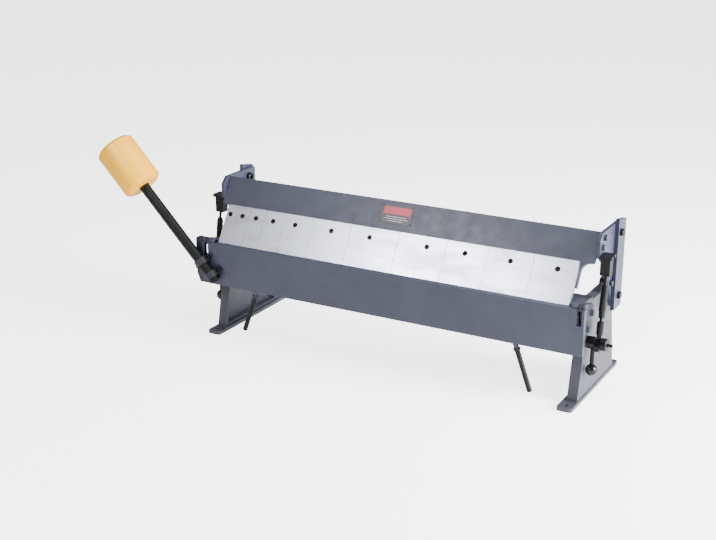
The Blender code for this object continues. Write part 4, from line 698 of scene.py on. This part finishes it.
def fit_leaf_fasteners():
    """The bolts, screws and nuts that ride on the bending leaf."""
    saddles = [
        (along_the_rod(distance, aside, SADDLE_SEAT_DEPTH), FRONT)
        for distance in SADDLE_PLACES for aside in (-SADDLE_ARM, SADDLE_ARM)
    ]
    set_fasteners("saddle_bolts", "apron", "black_steel", saddles, hexagon_head(16, 6.5), 8)
    bracket = [
        (at(-BRACKET_SCREW_SEAT, LEAF_MIDDLE_DEPTH, up), -RIGHT) for up in BRACKET_SCREW_HEIGHTS
    ]
    set_fasteners("bracket_screws", "apron", "black_steel", bracket, M10_SOCKET_HEAD, 9)
    nuts = []
    for side in SIDES.values():
        way = Vector((side * sin(HANDLE_LEAN), 0, -cos(HANDLE_LEAN)))
        socket = at(side * HANDLE_ACROSS, LEAF_MIDDLE_DEPTH, LEAF_FOOT_HEIGHT)
        nuts.append((socket + way * HANDLE_NUT_OUT * MM, way))
    set_fasteners("handle_nuts", "apron", "turned_steel", nuts, nut(19, 8, 10.4), 10)
    seat = along_the_rod(SET_SCREW_PLACE, depth=SET_SCREW_SEAT_DEPTH)
    set_fasteners("weight_set_screw", "apron", "black_steel", [(seat, -FRONT)],
                  socket_head(9.6, 22, 5), 11)


def fit_fasteners():
    """Every screw, bolt and nut that the machine's solids leave to the finish."""
    fit_end_fasteners()
    set_fasteners("finger_screws", "upper_beam", "black_steel", finger_screw_spots(),
                  M10_SOCKET_HEAD, 7)
    fit_leaf_fasteners()


# Turned fittings
def lathe(name, foot, way, profile, sides):
    """A closed turned shape, from radii and distances in millimetres along its own line."""
    builder = bmesh.new()
    aside = way.orthogonal().normalized()
    other = way.cross(aside)
    rings = []
    for radius, distance in profile:
        middle = foot + way * distance * MM
        if radius == 0:
            rings.append([builder.verts.new(middle)])
            continue
        turns = (2 * pi * step / sides for step in range(sides))
        rings.append([
            builder.verts.new(middle + (aside * cos(turn) + other * sin(turn)) * radius * MM)
            for turn in turns
        ])
    for first, second in zip(rings, rings[1:]):
        for step in range(sides):
            after = (step + 1) % sides
            corners = [
                first[step % len(first)], first[after % len(first)],
                second[after % len(second)], second[step % len(second)],
            ]
            builder.faces.new(list(dict.fromkeys(corners)))
    bmesh.ops.recalc_face_normals(builder, faces=builder.faces)
    mesh = bpy.data.meshes.new(name)
    builder.to_mesh(mesh)
    builder.free()
    return mesh


# The counterweight along its rod, in millimetres
WEIGHT_START = 400.0
WEIGHT_END = 573.0
WEIGHT_RADIUS = 67.0
WEIGHT_FACE_RADIUS = 58.0
WEIGHT_CHAMFER = 9.0
WEIGHT_CORNER = 1.6
CORNER_EASE = 0.4 * WEIGHT_CORNER
ROD_BORE_RADIUS = 17.8
ROD_BORE_DEPTH = 112
ROD_BORE_CHAMFER = 1.5
SCREW_HOLE_RADIUS = 5.3
SCREW_HOLE_START = 10.0
SCREW_HOLE_END = 80.0
WEIGHT_SIDES = 96
HOLE_SIDES = 24
# The shallow recess and the lathe centre's mark in the weight's upper face
RECESS_RADIUS = 9.0
RECESS_FLOOR_RADIUS = 8.0
RECESS_DEPTH = 1.2
MARK_RADIUS = 2.2
MARK_DEPTH = 4.0


def weight_profile():
    """The weight's radii and distances, from its bore's end round to its upper face."""
    lower_chamfer = WEIGHT_START + WEIGHT_CHAMFER
    upper_chamfer = WEIGHT_END - WEIGHT_CHAMFER
    return [
        (0, WEIGHT_START + ROD_BORE_DEPTH),
        (ROD_BORE_RADIUS, WEIGHT_START + ROD_BORE_DEPTH),
        (ROD_BORE_RADIUS, WEIGHT_START + ROD_BORE_CHAMFER),
        (ROD_BORE_RADIUS + ROD_BORE_CHAMFER, WEIGHT_START),
        (WEIGHT_FACE_RADIUS - WEIGHT_CORNER, WEIGHT_START),
        (WEIGHT_FACE_RADIUS, WEIGHT_START + CORNER_EASE),
        (WEIGHT_RADIUS - CORNER_EASE, lower_chamfer - CORNER_EASE),
        (WEIGHT_RADIUS, lower_chamfer + WEIGHT_CORNER),
        (WEIGHT_RADIUS, upper_chamfer - WEIGHT_CORNER),
        (WEIGHT_RADIUS - CORNER_EASE, upper_chamfer + CORNER_EASE),
        (WEIGHT_FACE_RADIUS, WEIGHT_END - CORNER_EASE),
        (WEIGHT_FACE_RADIUS - WEIGHT_CORNER, WEIGHT_END),
        (RECESS_RADIUS, WEIGHT_END),
        (RECESS_FLOOR_RADIUS, WEIGHT_END - RECESS_DEPTH),
        (MARK_RADIUS, WEIGHT_END - RECESS_DEPTH),
        (0, WEIGHT_END - MARK_DEPTH),
    ]


def fit_counterweight():
    """The weight with its turned corners, its rod's bore and the hole of its set screw."""
    mesh = lathe("counterweight_finish", along_the_rod(0), ROD_WAY, weight_profile(), WEIGHT_SIDES)
    hole_profile = [
        (0, SCREW_HOLE_START), (SCREW_HOLE_RADIUS, SCREW_HOLE_START),
        (SCREW_HOLE_RADIUS, SCREW_HOLE_END), (0, SCREW_HOLE_END),
    ]
    hole_foot = along_the_rod(SET_SCREW_PLACE)
    tool_mesh = lathe("screw_hole", hole_foot, -FRONT, hole_profile, HOLE_SIDES)
    block = bpy.data.objects.new("weight_blank", mesh)
    tool = bpy.data.objects.new("screw_hole", tool_mesh)
    for thing in (block, tool):
        bpy.context.scene.collection.objects.link(thing)
    drill = block.modifiers.new("screw_hole", "BOOLEAN")
    drill.operation = "DIFFERENCE"
    drill.solver = "EXACT"
    drill.object = tool
    graph = bpy.context.evaluated_depsgraph_get()
    drilled = bpy.data.meshes.new_from_object(block.evaluated_get(graph))
    for thing in (block, tool):
        bpy.data.objects.remove(thing)
    piece = keep("counterweight_finish", drilled, "apron", "yellow_paint", TURNED_SOFT_EDGE)
    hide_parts("counterweight")


# Radii and distances down from the clamp shaft, in millimetres: a lever's shank, grip and thread
LEVER_PROFILE = (
    (0, 9.6), (4, 9.6), (4, 19.3), (6.1, 19.3), (6.5, 19.9), (6.5, 69.4), (6.1, 70.1),
    (4, 70.1), (4, 84.0), (0, 84.0),
)
LEVER_SIDES = 40
# A ball knob: its blind bore and flat neck, and then its ball round the lever's end
KNOB_NECK = ((0, 84.6), (4.3, 84.6), (4.3, 70.6), (8.4, 70.4))
KNOB_RADIUS = 18
KNOB_MIDDLE = 86
KNOB_FIRST_ANGLE = -60
KNOB_ANGLE_STEP = 5
KNOB_STEPS = 30
KNOB_SIDES = 56


def knob_profile():
    """A ball knob's radii and distances, from its bore round to its crown."""
    angles = (radians(KNOB_FIRST_ANGLE + KNOB_ANGLE_STEP * step) for step in range(KNOB_STEPS))
    ball = [
        (KNOB_RADIUS * cos(angle), KNOB_MIDDLE + KNOB_RADIUS * sin(angle)) for angle in angles
    ]
    return [*KNOB_NECK, *ball, (0, KNOB_MIDDLE + KNOB_RADIUS)]


def fit_levers():
    """The two clamp levers and their ball knobs, straight down from the clamp shafts."""
    shaft_up = JOINTS["clamp_lever_right"]["pos_m"][2]
    for side in SIDES:
        low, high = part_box("ball_knob_" + side)
        line = Vector(((low[0] + high[0]) / 2, (low[1] + high[1]) / 2, shaft_up))
        body = "clamp_" + side
        name = "clamp_lever_" + side
        lever = lathe(name + "_finish", line, DOWN, LEVER_PROFILE, LEVER_SIDES)
        piece = keep(name + "_finish", lever, body, "black_steel", TURNED_SOFT_EDGE)
        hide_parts(name)
        name = "ball_knob_" + side
        knob = lathe(name + "_finish", line, DOWN, knob_profile(), KNOB_SIDES)
        piece = keep(name + "_finish", knob, body, "black_plastic", KNOB_SOFT_EDGE)
        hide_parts(name)


# Name plate
# Sizes and depths behind the blade's face, in millimetres. The print stands a hair proud
PLATE_MIDDLE = (-5.0, 189.4)
PLATE_SIZE = (110, 62)
PLATE_FRONT = 16.6
PLATE_BACK = 18.25
PLATE_CORNER = 3.0
PRINT_FRONT = 16.45
PRINT_BACK = 16.7
BAND_RISE = 11
BAND_SIZE = (94, 24)
BAND_CORNER = 1.5
RULES = ((-9.0, 70), (-15.5, 84), (-22.0, 52))
RULE_HEIGHT = 1.6
RULE_CORNER = 0.5
RIVET_REACH = (50.5, 26.5)
CORNER_STEPS = 6
QUARTERS = ((1, 1), (-1, 1), (-1, -1), (1, -1))


def face_panel(name, rise, size, depths, corner, finish=None):
    """A thin panel with round corners on the beam's slanted face, in millimetres."""
    half_width, half_height = size[0] / 2 - corner, size[1] / 2 - corner
    outline = []
    for quarter, (way_x, way_y) in enumerate(QUARTERS):
        for step in range(CORNER_STEPS + 1):
            angle = (quarter + step / CORNER_STEPS) * pi / 2
            x = way_x * half_width + corner * cos(angle)
            y = way_y * half_height + corner * sin(angle)
            outline.append((PLATE_MIDDLE[0] + x, PLATE_MIDDLE[1] + rise + y))
    builder = bmesh.new()
    layers = [[builder.verts.new(on_the_face(x, y, depth)) for x, y in outline] for depth in depths]
    builder.faces.new(layers[0])
    builder.faces.new(layers[1][::-1])
    for index in range(len(outline)):
        after = (index + 1) % len(outline)
        builder.faces.new([layers[0][index], layers[0][after], layers[1][after], layers[1][index]])
    bmesh.ops.recalc_face_normals(builder, faces=builder.faces)
    mesh = bpy.data.meshes.new(name)
    builder.to_mesh(mesh)
    builder.free()
    return keep(name, mesh, "upper_beam", "label", SOFT_EDGE, finish)


def fit_name_plate():
    """A plain dark plate with a red band, pale rules and four rivets. It bears no words."""
    plate_depths = (PLATE_FRONT, PLATE_BACK)
    print_depths = (PRINT_FRONT, PRINT_BACK)
    face_panel("name_plate", 0, PLATE_SIZE, plate_depths, PLATE_CORNER)
    face_panel("name_plate_band", BAND_RISE, BAND_SIZE, print_depths, BAND_CORNER, RED_PRINT)
    for number, (rise, width) in enumerate(RULES, 1):
        name = f"name_plate_rule_{number}"
        face_panel(name, rise, (width, RULE_HEIGHT), print_depths, RULE_CORNER, PALE_PRINT)
    rivets = []
    for way_x in (-1, 1):
        for way_y in (-1, 1):
            across = PLATE_MIDDLE[0] + RIVET_REACH[0] * way_x
            up = PLATE_MIDDLE[1] + RIVET_REACH[1] * way_y
            rivets.append((on_the_face(across, up, PLATE_FRONT), -BEHIND_THE_FACE))
    set_fasteners("name_plate_rivets", "upper_beam", "turned_steel", rivets,
                  rivet_head(4.4, 1.3), 12)


fit_fasteners()
fit_counterweight()
fit_levers()
fit_name_plate()
dress_solids({
    "counterweight", "clamp_lever_left", "clamp_lever_right", "ball_knob_left", "ball_knob_right",
})


# Stage and light
def make_stage():
    """A plain white floor in a white room, both bright to the camera as in the photograph."""
    finish, tree, shader, place = new_finish("studio_floor")
    seen = add(tree, "ShaderNodeLightPath").outputs["Is Camera Ray"]
    glow = add(tree, "ShaderNodeMath", {0: seen, 1: FLOOR_GLOW}, operation="MULTIPLY")
    join(tree, shader, {
        "Base Color": "FFFFFF", "Roughness": 0.9, "Emission Color": "FFFFFF",
        "Emission Strength": glow.outputs["Value"],
    })
    far = FLOOR_HALF
    mesh = bpy.data.meshes.new("studio_floor")
    corners = [(-far, -far, 0), (far, -far, 0), (far, far, 0), (-far, far, 0)]
    mesh.from_pydata(corners, [], [(0, 1, 2, 3)])
    mesh.materials.append(finish)
    floor = bpy.data.objects.new("studio_floor", mesh)
    bpy.context.scene.collection.objects.link(floor)
    world = bpy.data.worlds.new("white_room")
    bpy.context.scene.world = world
    world.use_nodes = True
    room = world.node_tree
    seen = add(room, "ShaderNodeLightPath").outputs["Is Camera Ray"]
    strength = add(room, "ShaderNodeMapRange", {
        "Value": seen, "To Min": ROOM_LIGHT, "To Max": ROOM_SEEN,
    })
    join(room, room.nodes["Background"], {
        "Color": "FFFFFF", "Strength": strength.outputs["Result"],
    })


def add_lamp(name, place, target, size, power):
    """A soft square lamp, aimed at a point."""
    lamp = bpy.data.lights.new(name, "AREA")
    lamp.shape = "SQUARE"
    lamp.size = size
    lamp.energy = power
    holder = bpy.data.objects.new(name, lamp)
    bpy.context.scene.collection.objects.link(holder)
    holder.location = place
    holder.rotation_euler = (target - place).to_track_quat("-Z", "Y").to_euler()


make_stage()
for lamp_name, (lamp_place, lamp_size, lamp_power) in LAMPS.items():
    add_lamp(lamp_name, at(*lamp_place), at(0, 0, LIT_HEIGHT_MM), lamp_size, lamp_power)
